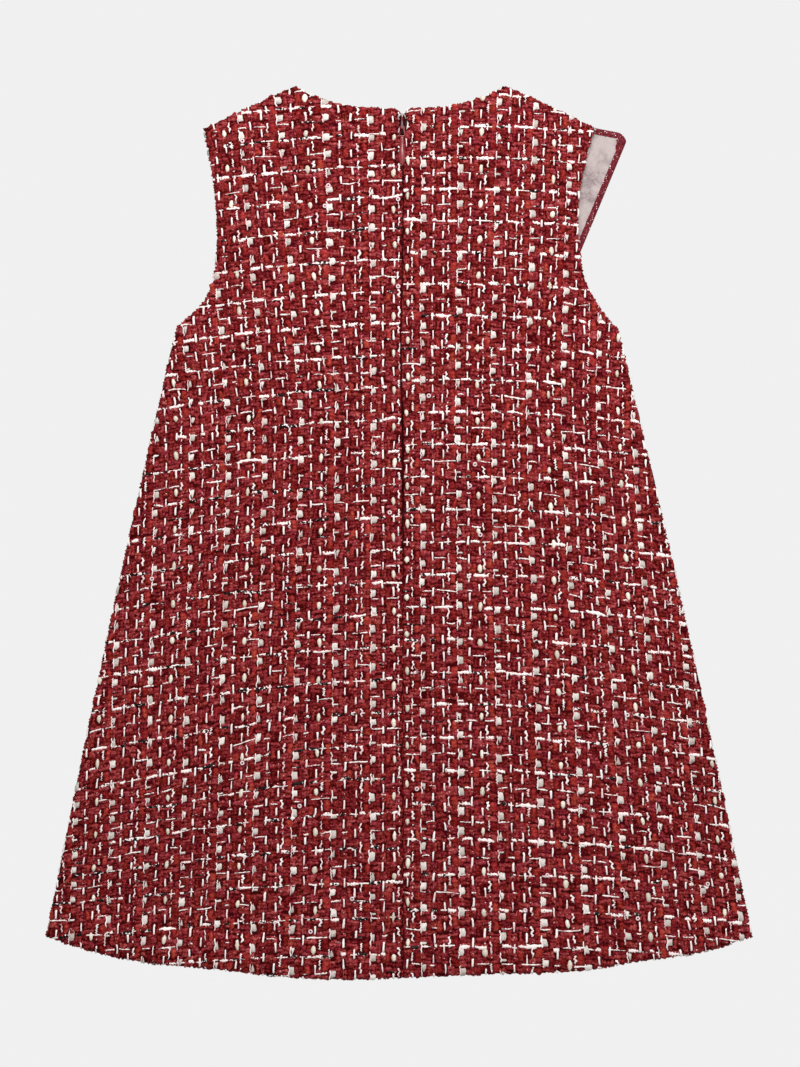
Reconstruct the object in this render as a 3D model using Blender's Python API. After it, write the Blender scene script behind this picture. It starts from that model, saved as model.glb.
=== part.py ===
"""A child's sleeveless A-line dress of boucle tweed, laid out flat with its back up.

Metres, +Z up. The dress rests on its front panel, on the plane z = 0. +Y runs from the hem to
the neck and +X to the wearer's right. The origin is the middle of the laid dress, on that plane.
"""

import math
from collections import namedtuple

import bmesh
import bpy
from mathutils import Vector

# The cut of the dress
NECK_POINT_X = 0.0728      # half the width of the neck, at the shoulder seams
NECK_POINT_Y = 0.3129
SHOULDER_TIP_X = 0.1372    # half the width across the shoulders
SHOULDER_TIP_Y = 0.2828
BACK_NECK_Y = 0.2975       # lowest point of the back neckline
BACK_NECK_POWER = 3.0      # how suddenly the neckline turns up to the neck point
FRONT_NECK_Y = 0.2510      # lowest point of the front neckline
FRONT_NECK_POWER = 2.2
UNDERARM_Y = 0.1430        # where the armhole meets the side seam
HEM_CORNER_Y = -0.2815
HEM_MIDDLE_Y = -0.3105
HEM_POWER = 3.2            # how late the hem turns up to its corners
HEM_SWAY = 0.0025          # the hem hangs lower on one side of the centre back
HEM_SWAY_HALF_WAVE = 0.138
SIDE_BULGE = 0.0022        # how far the side seams bow outwards
SHOULDER_BULGE = 0.0010    # and the shoulder seams upwards
FRONT_SCOOP = 0.008        # the front armhole is cut this much deeper
CENTRE_BACK_X = 0.0014     # the centre back seam lies a little off the middle

# The armholes and side seams, a row for each section: its height and its half widths
Section = namedtuple("Section", "y left right")
SIDE_SECTIONS = (
    Section(HEM_CORNER_Y, 0.2475, 0.2463),
    Section(UNDERARM_Y, 0.1568, 0.1530),
    Section(0.1490, 0.1515, 0.1470),
    Section(0.1560, 0.1430, 0.1415),
    Section(0.1660, 0.1358, 0.1350),
    Section(0.1800, 0.1308, 0.1288),
    Section(0.2000, 0.1285, 0.1256),
    Section(0.2250, 0.1288, 0.1247),
    Section(0.2480, 0.1312, 0.1276),
    Section(0.2680, 0.1350, 0.1322),
    Section(SHOULDER_TIP_Y, 0.1376, 0.1366),
)

# The cloth, and how its layers lie on each other
WALL = 0.0024              # boucle tweed
HEM_WALL = 0.0040          # the same with the hem allowance turned up inside
HEM_ALLOWANCE = 0.030
HEM_STEP = 0.010           # the second layer thins out over this width at its top
SEAM_GAP = 0.0003          # between pieces that are sewn to each other or lie on each other
EDGE_RISE = 0.0010         # the front's edges turn up this much at the side seams and armholes
EDGE_TURN = 0.008          # over this width
AIR = 0.0022               # between the front and the back, away from the seams
AIR_REACH = 0.030          # the back rises to its full height over this width

# Soft folds that flare to the hem in the back, a row for each, at its places on hem and bodice.
# A fold's width is the one halfway down. It is narrower at the top and wider at the hem.
FOLD_FLARE = 0.5
FOLD_FULL = 0.77           # a fold has its full height this far down
Fold = namedtuple("Fold", "hem_x top_x top_y width height")
FOLDS = (
    Fold(hem_x=-0.186, top_x=-0.112, top_y=0.060, width=0.034, height=0.0020),
    Fold(hem_x=-0.098, top_x=-0.058, top_y=0.000, width=0.030, height=0.0013),
    Fold(hem_x=0.046, top_x=0.030, top_y=0.020, width=0.026, height=0.0017),
    Fold(hem_x=0.128, top_x=0.082, top_y=0.080, width=0.032, height=0.0021),
    Fold(hem_x=0.205, top_x=0.128, top_y=-0.020, width=0.024, height=0.0014),
)

# The flounce, caught in the shoulder seam of the front, under the laid dress
FLOUNCE_FACE = 0.0018
FLOUNCE_LINING = 0.0008
FLOUNCE_SEAM_TOP = (0.0980, 0.3005)     # where it starts in the shoulder seam
FLOUNCE_CORNER = (0.1572, 0.2790)       # its free top corner, past the armhole
FLOUNCE_CORNER_LOW = (0.1578, 0.2740)
FLOUNCE_EDGE_MIDDLE = (0.1264, 0.1985)  # where its free edge goes behind the armhole
FLOUNCE_TAIL = (0.0704, 0.0683)
FLOUNCE_TAIL_WIDTH = 0.006
FLOUNCE_TIP_SHARE = 0.6                 # how far across its top it passes the shoulder tip
FLOUNCE_MIDDLE_SHARE = 0.45             # how far up its free edge goes behind the armhole
FLOUNCE_MARGIN = 0.014                  # what lies on it stays up this far past it
FRONT_RAMP = 0.022                      # then the front comes down over this width
BACK_RAMP = 0.090                       # and the back over this one

# The concealed zip
ZIP_END_Y = -0.0330
TAPE_WIDTH = 0.0115
TAPE_WALL = 0.0009
TAPE_TOP_INSET = 0.0030
OPENING_TOP_Y = 0.2960
OPENING_LOW_Y = 0.2775     # the slit is closed from here down
OPENING_HALF = 0.0026      # half the width of the opening that the slider holds
OPENING_AT_NECK = 0.82     # it is this far through its round shape where the neckline cuts it
TAPE_OPENING_HALF = 0.0011

# The slider, its bridge and the pull tab that swings on it
HINGE_Y = 0.2838
SLIDER_LENGTH = 0.0115
SLIDER_WIDTH = 0.0062
SLIDER_TAPER = 0.72        # its lower end is narrower by this
SLIDER_THICK = 0.0022
SLIDER_CORNER = 0.0012
BRIDGE_WIDTH = 0.0011
BRIDGE_STRAP = 0.0009
BRIDGE_REACH_UP = 0.0066   # from the hinge towards the neck
BRIDGE_REACH_DOWN = 0.0028
BRIDGE_SLOPE = 0.0012
PULL_THICK = 0.0012
PULL_PIN = 0.0011          # the bar of its eye that lies under the bridge
PULL_EYE_LENGTH = 0.0070
PULL_EYE_TOP_HALF = 0.0018
PULL_EYE_BASE_HALF = 0.0024
PULL_WIRE = 0.0008
PULL_NECK_HALF = 0.0012
PULL_DROP_HALF = 0.0024
PULL_DROP_LENGTH = 0.0205  # from the eye to its round end
PULL_NECK_SHARE = 0.22     # the narrow neck's part of that
PULL_ROUND_SHARE = 0.37    # and the round end's, below its widest place
HINGE_PLAY = 0.0003

# Cells of the panels' grids
SKIRT_ROWS = 22
ARMHOLE_ROWS = 16
NECK_COLUMNS = 9
SHOULDER_COLUMNS = 8
FLOUNCE_ROWS = 16
FLOUNCE_COLUMNS = 5
TAPE_ROWS = 22
TAPE_COLUMNS = 2

Finish = namedtuple("Finish", "colour roughness metallic")
TWEED = Finish((0.26, 0.055, 0.057), 0.92, 0.0)
INTERLINING = Finish((0.53, 0.45, 0.44), 0.95, 0.0)
ZIP_TAPE = Finish((0.075, 0.012, 0.015), 0.85, 0.0)
PAINTED_METAL = Finish((0.39, 0.095, 0.10), 0.35, 0.4)


def smooth(share):
    """0 to 1 with a soft start and end."""
    share = min(max(share, 0.0), 1.0)
    return share * share * (3.0 - 2.0 * share)


def between(a, b, share):
    return a + (b - a) * share


# ---- the outline ----


def side_half(y, column):
    """Half the width of the back at a height: the side seam, then the armhole's curve."""
    rows = SIDE_SECTIONS
    if y <= UNDERARM_Y:
        share = (y - rows[0].y) / (rows[1].y - rows[0].y)
        straight = between(getattr(rows[0], column), getattr(rows[1], column), share)
        return straight + SIDE_BULGE * math.sin(math.pi * share)
    index = 1
    while index < len(rows) - 2 and y > rows[index + 1].y:
        index += 1
    low, high = rows[index], rows[index + 1]
    before = rows[index - 1] if index > 1 else low
    after = rows[index + 2] if index + 2 < len(rows) else high
    span = high.y - low.y
    share = (y - low.y) / span
    low_x, high_x = getattr(low, column), getattr(high, column)
    low_slope = (high_x - getattr(before, column)) / (high.y - before.y) * span
    high_slope = (getattr(after, column) - low_x) / (after.y - low.y) * span
    square, cube = share ** 2, share ** 3
    return (
        (2 * cube - 3 * square + 1) * low_x
        + (cube - 2 * square + share) * low_slope
        + (3 * square - 2 * cube) * high_x
        + (cube - square) * high_slope
    )


def front_scoop(y):
    """How much deeper the front's armhole is cut at a height."""
    share = (y - UNDERARM_Y) / (SHOULDER_TIP_Y - UNDERARM_Y)
    return FRONT_SCOOP * math.sin(math.pi * min(max(share, 0.0), 1.0))


def outer_edge(y, side, is_front):
    """The point of the side seam or armhole at a height. side is -1 or 1."""
    half = side_half(y, "left" if side < 0 else "right")
    if is_front:
        half -= front_scoop(y)
    return Vector((side * half, y))


def hem_point(x):
    half = SIDE_SECTIONS[0].left if x < 0 else SIDE_SECTIONS[0].right
    share = min(abs(x) / half, 1.0)
    rise = (HEM_CORNER_Y - HEM_MIDDLE_Y) * share ** HEM_POWER
    wave_share = min(max(x / HEM_SWAY_HALF_WAVE, -1.0), 1.0)
    return Vector((x, HEM_MIDDLE_Y + rise + HEM_SWAY * math.sin(math.pi * wave_share)))


def top_point(share, side, is_front):
    """A point of the neckline, then of the shoulder seam. share runs from the centre outwards."""
    neck_share = NECK_COLUMNS / (NECK_COLUMNS + SHOULDER_COLUMNS)
    if share <= neck_share:
        part = share / neck_share
        low, power = (FRONT_NECK_Y, FRONT_NECK_POWER) if is_front else (BACK_NECK_Y, BACK_NECK_POWER)
        return Vector((side * NECK_POINT_X * part, between(low, NECK_POINT_Y, part ** power)))
    part = (share - neck_share) / (1.0 - neck_share)
    tip = outer_edge(SHOULDER_TIP_Y, side, is_front)
    seam = Vector((side * NECK_POINT_X, NECK_POINT_Y)).lerp(tip, part)
    return seam + Vector((0.0, SHOULDER_BULGE * math.sin(math.pi * part)))


def opening_half(y, widest):
    """Half the width of the slit at a height: closed, but for the opening round the slider."""
    closed = SEAM_GAP / 2
    if y < OPENING_LOW_Y:
        return closed
    share = min((y - OPENING_LOW_Y) / (OPENING_TOP_Y - OPENING_LOW_Y), 1.0)
    return closed + widest * math.sin(math.pi * min(share, OPENING_AT_NECK))


def panel_point(across, up, side, is_front):
    """A point of half a panel: across from the centre to the side, up from the hem to the top."""
    skirt_share = SKIRT_ROWS / (SKIRT_ROWS + ARMHOLE_ROWS)
    if up <= skirt_share:
        edge_y = between(HEM_CORNER_Y, UNDERARM_Y, up / skirt_share)
    else:
        edge_y = between(UNDERARM_Y, SHOULDER_TIP_Y, (up - skirt_share) / (1.0 - skirt_share))
    height_share = (edge_y - HEM_CORNER_Y) / (SHOULDER_TIP_Y - HEM_CORNER_Y)
    hem_half = SIDE_SECTIONS[0].left if side < 0 else SIDE_SECTIONS[0].right
    neck = top_point(0.0, side, is_front)
    centre_low = hem_point(0.0)
    centre = centre_low.lerp(neck, height_share)
    edge = outer_edge(edge_y, side, is_front)
    low, top = hem_point(side * hem_half * across), top_point(across, side, is_front)
    low_corner = outer_edge(HEM_CORNER_Y, side, is_front)
    tip = outer_edge(SHOULDER_TIP_Y, side, is_front)
    rounded = low.lerp(top, height_share) + centre.lerp(edge, across)
    corners = centre_low.lerp(low_corner, across).lerp(neck.lerp(tip, across), height_share)
    return rounded - corners


# ---- the heights of the layers ----


def wall_at(x, y):
    """The wall's thickness: one layer, and two in the hem allowance."""
    above = y - hem_point(x).y - (HEM_ALLOWANCE - HEM_STEP)
    return between(HEM_WALL, WALL, smooth(above / HEM_STEP))


def flounce_lift(x, y, ramp):
    """How far the flounce underneath lifts what lies on it, which comes down over a ramp."""
    seam_top, corner = Vector(FLOUNCE_SEAM_TOP), Vector(FLOUNCE_CORNER)
    tail = Vector(FLOUNCE_TAIL)
    head = (seam_top + corner) / 2
    axis = (tail - head).normalized()
    away = Vector((x, y)) - head
    along = away.dot(axis)
    across = abs(away.cross(axis))
    length = (tail - head).length
    head_half = (corner - seam_top).length / 2
    half = between(head_half, FLOUNCE_TAIL_WIDTH, min(max(along / length, 0.0), 1.0))
    beside = (across - half - FLOUNCE_MARGIN) / ramp
    past_tail = (along - length - FLOUNCE_MARGIN) / ramp
    beyond = math.hypot(max(beside, 0.0), max(past_tail, 0.0))
    full = FLOUNCE_FACE + SEAM_GAP + FLOUNCE_LINING + SEAM_GAP
    return full * (1.0 - smooth(beyond))


def edge_distance(x, y):
    """Roughly how far a point lies inside the side seams, armholes and shoulder seams."""
    column = "left" if x < 0 else "right"
    to_side = side_half(min(max(y, HEM_CORNER_Y), SHOULDER_TIP_Y), column) - abs(x)
    fall = (SHOULDER_TIP_Y - NECK_POINT_Y) / (SHOULDER_TIP_X - NECK_POINT_X)
    shoulder_y = NECK_POINT_Y + fall * (abs(x) - NECK_POINT_X)
    # The neckline is no seam, so the distance grows from the neck points to the middle.
    off_neck = max(NECK_POINT_X - abs(x), 0.0)
    return max(min(to_side, shoulder_y - y + off_neck), 0.0)


def front_middle(x, y):
    """Height of the middle of the front's wall. Its outside lies flat on the plane z = 0."""
    turned = EDGE_RISE * (1.0 - smooth(edge_distance(x, y) / EDGE_TURN))
    return wall_at(x, y) / 2 + turned + flounce_lift(x, y, FRONT_RAMP)


def fold_height(x, y):
    total = 0.0
    for fold in FOLDS:
        down = (fold.top_y - y) / (fold.top_y - HEM_MIDDLE_Y)
        crest_x = between(fold.top_x, fold.hem_x, down)
        width = fold.width * (1.0 + FOLD_FLARE * (max(down, 0.0) - 0.5))
        across = math.exp(-((x - crest_x) / width) ** 2)
        total += fold.height * smooth(down / FOLD_FULL) * across
    return total


def back_middle(x, y):
    """Height of the middle of the back's wall, which lies on the front."""
    inside = smooth(edge_distance(x, y) / AIR_REACH)
    lift = flounce_lift(x, y, BACK_RAMP) - flounce_lift(x, y, FRONT_RAMP)
    on_front = front_middle(x, y) + wall_at(x, y) + SEAM_GAP
    return on_front + inside * (AIR + fold_height(x, y) + lift)


# ---- making objects ----


def finish_material(name, finish):
    material = bpy.data.materials.new(name)
    material.use_nodes = True
    shader = material.node_tree.nodes["Principled BSDF"]
    shader.inputs["Base Color"].default_value = (*finish.colour, 1.0)
    shader.inputs["Roughness"].default_value = finish.roughness
    shader.inputs["Metallic"].default_value = finish.metallic
    material.diffuse_color = (*finish.colour, 1.0)
    return material


def add_object(name, bm, material, sharp_degrees=40.0):
    bmesh.ops.recalc_face_normals(bm, faces=bm.faces)
    mesh = bpy.data.meshes.new(name)
    bm.to_mesh(mesh)
    bm.free()
    mesh.shade_smooth()
    mesh.set_sharp_from_angle(angle=math.radians(sharp_degrees))
    mesh.materials.append(material)
    obj = bpy.data.objects.new(name, mesh)
    bpy.context.scene.collection.objects.link(obj)
    return obj


def add_sheet(name, columns, rows, point, wall, middle, material):
    """A closed wall over a grid. point(across, up) gives x and y, middle(x, y) its mid height."""
    bm = bmesh.new()
    bmesh.ops.create_grid(bm, x_segments=columns, y_segments=rows, size=1.0)
    is_top = bm.verts.layers.int.new("is_top")
    for vert in bm.verts:
        vert.co.xy = point((vert.co.x + 1.0) / 2, (vert.co.y + 1.0) / 2)
    extruded = bmesh.ops.extrude_face_region(bm, geom=bm.faces[:])
    for item in extruded["geom"]:
        if isinstance(item, bmesh.types.BMVert):
            item[is_top] = 1
    for vert in bm.verts:
        x, y = vert.co.xy
        offset = wall(x, y) / 2
        vert.co.z = middle(x, y) + (offset if vert[is_top] else -offset)
    return add_object(name, bm, material)


def make_front(material):
    def point(across, up):
        side = -1 if across < 0.5 else 1
        return panel_point(abs(across - 0.5) * 2, up, side, is_front=True)

    columns = 2 * (NECK_COLUMNS + SHOULDER_COLUMNS)
    rows = SKIRT_ROWS + ARMHOLE_ROWS
    add_sheet("front_panel", columns, rows, point, wall_at, front_middle, material)


def make_back(name, side, material):
    def point(across, up):
        flat = panel_point(across, up, side, is_front=False)
        slit = CENTRE_BACK_X + side * opening_half(flat.y, OPENING_HALF)
        flat.x += slit * (1.0 - across) ** 2
        return flat

    columns = NECK_COLUMNS + SHOULDER_COLUMNS
    rows = SKIRT_ROWS + ARMHOLE_ROWS
    add_sheet(name, columns, rows, point, wall_at, back_middle, material)


# ---- the flounce ----


def flounce_point(across, up):
    """A point of the flounce: across from its seam to its free edge, up from its tail to the top."""
    seam_top, corner = Vector(FLOUNCE_SEAM_TOP), Vector(FLOUNCE_CORNER)
    corner_low, middle = Vector(FLOUNCE_CORNER_LOW), Vector(FLOUNCE_EDGE_MIDDLE)
    tail = Vector(FLOUNCE_TAIL)
    tip = Vector((SHOULDER_TIP_X, SHOULDER_TIP_Y))
    tip_share = FLOUNCE_TIP_SHARE
    if across <= tip_share:
        top = seam_top.lerp(tip, across / tip_share)
    else:
        top = tip.lerp(corner, (across - tip_share) / (1.0 - tip_share))
    corner_share = 1.0 - 1.0 / FLOUNCE_ROWS
    middle_share = FLOUNCE_MIDDLE_SHARE
    if up >= corner_share:
        free = corner_low.lerp(corner, (up - corner_share) / (1.0 - corner_share))
    elif up >= middle_share:
        free = middle.lerp(corner_low, (up - middle_share) / (corner_share - middle_share))
    else:
        free = tail.lerp(middle, up / middle_share)
    seam = (tail - Vector((FLOUNCE_TAIL_WIDTH, 0.0))).lerp(seam_top, up)
    straight = seam.lerp(free, across)
    straight_top = seam_top.lerp(corner, across)
    return straight + (top - straight_top) * up ** 3


def make_flounce(tweed, interlining):
    def face_middle(x, y):
        return FLOUNCE_FACE / 2

    def lining_middle(x, y):
        return FLOUNCE_FACE + SEAM_GAP + FLOUNCE_LINING / 2

    columns, rows = FLOUNCE_COLUMNS, FLOUNCE_ROWS
    add_sheet("flounce_face", columns, rows, flounce_point, lambda x, y: FLOUNCE_FACE,
              face_middle, tweed)
    add_sheet("flounce_lining", columns, rows, flounce_point, lambda x, y: FLOUNCE_LINING,
              lining_middle, interlining)


# ---- the zip ----


def tape_middle(x, y):
    return back_middle(x, y) - wall_at(x, y) / 2 - SEAM_GAP - TAPE_WALL / 2


def make_tape(name, side, material):
    def point(across, up):
        y = between(ZIP_END_Y, BACK_NECK_Y - TAPE_TOP_INSET, up)
        inner = opening_half(y, TAPE_OPENING_HALF)
        return Vector((CENTRE_BACK_X + side * (inner + TAPE_WIDTH * across), y))

    add_sheet(name, TAPE_COLUMNS, TAPE_ROWS, point, lambda x, y: TAPE_WALL, tape_middle, material)


def add_plate(name, outlines, thickness, material):
    """A flat plate from closed outlines, the first round the others, in its own XY plane."""
    bm = bmesh.new()
    edges = []
    for outline in outlines:
        verts = [bm.verts.new((x, y, -thickness / 2)) for x, y in outline]
        edges += [bm.edges.new((a, b)) for a, b in zip(verts, verts[1:] + verts[:1])]
    filled = bmesh.ops.triangle_fill(bm, edges=edges, use_beauty=True, use_dissolve=False)
    faces = [item for item in filled["geom"] if isinstance(item, bmesh.types.BMFace)]
    extruded = bmesh.ops.extrude_face_region(bm, geom=faces)
    raised = [item for item in extruded["geom"] if isinstance(item, bmesh.types.BMVert)]
    bmesh.ops.translate(bm, verts=raised, vec=(0.0, 0.0, thickness))
    return add_object(name, bm, material)


def hinge_height():
    """Height of the pin of the pull, which lies just above the cloth."""
    top = back_middle(CENTRE_BACK_X, HINGE_Y) + WALL / 2
    return top + SEAM_GAP + PULL_THICK / 2


def pull_outline():
    """The pull's outer outline from its pin, down one side of the drop and up the other."""
    eye_end = -PULL_EYE_LENGTH
    drop_end = eye_end - PULL_DROP_LENGTH
    side = [
        (PULL_EYE_TOP_HALF, PULL_PIN / 2),
        (PULL_EYE_TOP_HALF + PULL_WIRE / 2, 0.0),
        (PULL_EYE_BASE_HALF, eye_end + PULL_WIRE),
        (PULL_EYE_BASE_HALF - PULL_WIRE / 2, eye_end),
        (PULL_NECK_HALF, eye_end - PULL_WIRE),
        (PULL_NECK_HALF, eye_end - PULL_NECK_SHARE * PULL_DROP_LENGTH),
    ]
    round_length = PULL_ROUND_SHARE * PULL_DROP_LENGTH
    for step in range(6):
        angle = math.radians(15.0 * step)
        y = drop_end + round_length * (1.0 - math.sin(angle))
        side.append((PULL_DROP_HALF * math.cos(angle), y))
    left = [(-x, y) for x, y in reversed(side)]
    return side + [(0.0, drop_end)] + left


def pull_eye():
    """The hole of the pull's eye, which the bridge goes through."""
    top_half = PULL_EYE_TOP_HALF - PULL_WIRE / 2
    base_half = PULL_EYE_BASE_HALF - PULL_WIRE
    low = -PULL_EYE_LENGTH + PULL_WIRE
    high = -PULL_PIN / 2
    return [(top_half, high), (base_half, low), (-base_half, low), (-top_half, high)]


def make_pull(material):
    pull = add_plate("zip_pull", [pull_outline(), pull_eye()], PULL_THICK, material)
    pull.location = (CENTRE_BACK_X, HINGE_Y, hinge_height())
    return pull


def make_slider(material):
    """A flat body under the tapes, with a thin bridge that comes up through the slit."""
    hinge_z = hinge_height()
    under_tape = tape_middle(CENTRE_BACK_X, HINGE_Y) - TAPE_WALL / 2 - SEAM_GAP
    body_z = under_tape - SLIDER_THICK / 2
    body_y = HINGE_Y + (BRIDGE_REACH_UP - BRIDGE_REACH_DOWN) / 2
    bm = bmesh.new()
    bmesh.ops.create_cube(bm, size=1.0)
    bmesh.ops.scale(bm, vec=(SLIDER_WIDTH, SLIDER_LENGTH, SLIDER_THICK), verts=bm.verts)
    narrow = [v for v in bm.verts if v.co.y < 0]
    bmesh.ops.scale(bm, vec=(SLIDER_TAPER, 1.0, 1.0), verts=narrow)
    bmesh.ops.translate(bm, vec=(CENTRE_BACK_X, body_y, body_z), verts=bm.verts)
    upright = [e for e in bm.edges if abs(e.verts[0].co.z - e.verts[1].co.z) > SLIDER_THICK / 2]
    bmesh.ops.bevel(bm, geom=upright, offset=SLIDER_CORNER, segments=3, affect="EDGES",
                    profile=0.5)
    slider = add_object("zip_slider", bm, material)

    clear = math.hypot(PULL_PIN, PULL_THICK) / 2 + HINGE_PLAY
    outer = clear + BRIDGE_STRAP
    foot = body_z - hinge_z
    low_end = -BRIDGE_REACH_DOWN
    low_window = low_end + BRIDGE_STRAP
    high_window = clear + BRIDGE_STRAP
    arch = [
        (low_end, foot),
        (low_end, 0.0),
        (low_end + BRIDGE_SLOPE, outer),
        (BRIDGE_REACH_UP / 2, outer),
        (BRIDGE_REACH_UP, 0.0),
        (BRIDGE_REACH_UP, foot),
    ]
    window = [
        (low_window, -clear),
        (low_window, 0.0),
        (low_window + BRIDGE_SLOPE / 2, clear),
        (high_window, clear),
        (high_window + BRIDGE_SLOPE / 2, -clear),
    ]
    bridge = add_plate("zip_bridge_helper", [arch, window], BRIDGE_WIDTH, material)
    # The plate's XY plane is turned to stand along the slit: its x to +Y, its y to +Z.
    bridge.rotation_euler = (math.radians(90.0), 0.0, math.radians(90.0))
    bridge.location = (CENTRE_BACK_X, HINGE_Y, hinge_z)
    bridge.hide_render = True
    bridge.display_type = "WIRE"
    joined = slider.modifiers.new("bridge", "BOOLEAN")
    joined.operation = "UNION"
    joined.solver = "EXACT"
    joined.object = bridge


def main():
    for obj in list(bpy.data.objects):
        bpy.data.objects.remove(obj, do_unlink=True)
    tweed = finish_material("boucle_tweed", TWEED)
    interlining = finish_material("interlining", INTERLINING)
    tape = finish_material("zip_tape", ZIP_TAPE)
    metal = finish_material("painted_metal", PAINTED_METAL)
    make_front(tweed)
    make_back("back_left_panel", -1, tweed)
    make_back("back_right_panel", 1, tweed)
    make_flounce(tweed, interlining)
    make_tape("zip_tape_left", -1, tape)
    make_tape("zip_tape_right", 1, tape)
    make_slider(metal)
    make_pull(metal)


main()
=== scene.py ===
import math

import bmesh
import bpy
import numpy as np
from mathutils import Matrix, Vector


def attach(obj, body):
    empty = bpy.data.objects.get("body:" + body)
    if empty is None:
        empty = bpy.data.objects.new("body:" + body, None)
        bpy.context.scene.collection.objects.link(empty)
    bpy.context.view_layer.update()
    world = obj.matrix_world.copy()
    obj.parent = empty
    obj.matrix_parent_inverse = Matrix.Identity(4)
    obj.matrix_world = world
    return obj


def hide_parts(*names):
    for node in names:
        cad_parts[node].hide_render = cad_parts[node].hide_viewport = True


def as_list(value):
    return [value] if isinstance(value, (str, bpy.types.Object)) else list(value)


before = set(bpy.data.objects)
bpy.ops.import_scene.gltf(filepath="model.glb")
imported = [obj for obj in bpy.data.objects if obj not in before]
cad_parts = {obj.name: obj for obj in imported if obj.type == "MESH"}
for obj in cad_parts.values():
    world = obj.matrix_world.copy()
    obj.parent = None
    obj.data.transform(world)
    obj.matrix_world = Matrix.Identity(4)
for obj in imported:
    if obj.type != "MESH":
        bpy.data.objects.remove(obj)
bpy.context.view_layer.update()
random = np.random.default_rng(11)

# The dress lies flat with its back up. Metres, +Y from the hem to the neck, +Z up from the floor.


def smooth(share):
    share = np.clip(share, 0.0, 1.0)
    return share * share * (3.0 - 2.0 * share)


def linear(red, green, blue):
    # a screen colour, 0 to 255, as the shaders take it
    def channel(value):
        value /= 255.0
        return value / 12.92 if value <= 0.04045 else ((value + 0.055) / 1.055) ** 2.4

    return (channel(red), channel(green), channel(blue), 1.0)


# The cut, in the sizes of the solids. Only hemLifts is the scene's own, to follow the photo's hem.

cut = {
    "neckPoint": (0.0728, 0.3129),
    "shoulderTip": (0.1372, 0.2828),
    "backNeck": (0.2975, 3.0),   # height of its middle, and how late its curve rises
    "frontNeck": (0.2510, 2.2),
    "underarmY": 0.1430,
    "hemCornerY": -0.2815,
    "hemMiddleY": -0.3105,
    "hemPower": 3.2,
    "hemSway": 0.0025,
    "hemSwayHalfWave": 0.138,
    "hemLifts": ((-0.112, 0.060, 0.0033), (0.162, 0.038, 0.0034)),  # middle, reach and height
    "sideBulge": 0.0022,
    "shoulderBulge": 0.0010,
    "frontScoop": 0.008,
    "centreBackX": 0.0014,
    # height, half width on the left, half width on the right
    "sides": (
        (-0.2815, 0.2475, 0.2463),
        (0.1430, 0.1568, 0.1530),
        (0.1490, 0.1515, 0.1470),
        (0.1560, 0.1430, 0.1415),
        (0.1660, 0.1358, 0.1350),
        (0.1800, 0.1308, 0.1288),
        (0.2000, 0.1285, 0.1256),
        (0.2250, 0.1288, 0.1247),
        (0.2480, 0.1312, 0.1276),
        (0.2680, 0.1350, 0.1322),
        (0.2828, 0.1376, 0.1366),
    ),
}

layers = {
    "wall": 0.0024,
    "hemWall": 0.0040,
    "hemAllowance": 0.030,
    "hemStep": 0.010,
    "seamGap": 0.0003,
    "edgeRise": 0.0010,
    "edgeTurn": 0.008,
    "air": 0.0022,
    "airReach": 0.030,
    "foldFlare": 0.5,
    "foldFull": 0.77,
    # hemX, topX, topY, width, height
    "folds": (
        (-0.186, -0.112, 0.060, 0.034, 0.0020),
        (-0.098, -0.058, 0.000, 0.030, 0.0013),
        (0.046, 0.030, 0.020, 0.026, 0.0017),
        (0.128, 0.082, 0.080, 0.032, 0.0021),
        (0.205, 0.128, -0.020, 0.024, 0.0014),
    ),
}

flounceCut = {
    "face": 0.0018,
    "lining": 0.0008,
    "seamTop": (0.0980, 0.3005),
    "corner": (0.1572, 0.2790),
    "cornerLow": (0.1578, 0.2740),
    "edgeMiddle": (0.1264, 0.1985),
    "tail": (0.0704, 0.0683),
    "tailWidth": 0.006,
    "tipShare": 0.6,
    "middleShare": 0.45,
    "rows": 16,
    "margin": 0.014,
    "frontRamp": 0.022,
    "backRamp": 0.090,
}

zipCut = {
    "endY": -0.0330,
    "openingTopY": 0.2960,
    "openingLowY": 0.2775,
    "openingHalf": 0.0026,
    "openingAtNeck": 0.82,
    "hinge": (0.0014, 0.2838, 0.00832),
}


def sideRow(y, column):
    # half the width at one height, a smooth curve through the rows above the underarm
    rows = cut["sides"]
    if y <= cut["underarmY"]:
        share = (y - rows[0][0]) / (rows[1][0] - rows[0][0])
        straight = rows[0][column] + (rows[1][column] - rows[0][column]) * share
        return straight + cut["sideBulge"] * math.sin(math.pi * share)
    index = 1
    while index < len(rows) - 2 and y > rows[index + 1][0]:
        index += 1
    low, high = rows[index], rows[index + 1]
    before = rows[index - 1] if index > 1 else low
    after = rows[index + 2] if index + 2 < len(rows) else high
    span = high[0] - low[0]
    share = (y - low[0]) / span
    lowSlope = (high[column] - before[column]) / (high[0] - before[0]) * span
    highSlope = (after[column] - low[column]) / (after[0] - low[0]) * span
    square, cube = share ** 2, share ** 3
    return (
        (2 * cube - 3 * square + 1) * low[column]
        + (cube - 2 * square + share) * lowSlope
        + (3 * square - 2 * cube) * high[column]
        + (cube - square) * highSlope
    )


sideHeights = np.linspace(cut["hemCornerY"], cut["shoulderTip"][1], 900)
sideWidths = {column: np.array([sideRow(y, column) for y in sideHeights]) for column in (1, 2)}


def sideHalf(x, y):
    left = np.interp(y, sideHeights, sideWidths[1])
    right = np.interp(y, sideHeights, sideWidths[2])
    return np.where(x < 0, left, right)


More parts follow.
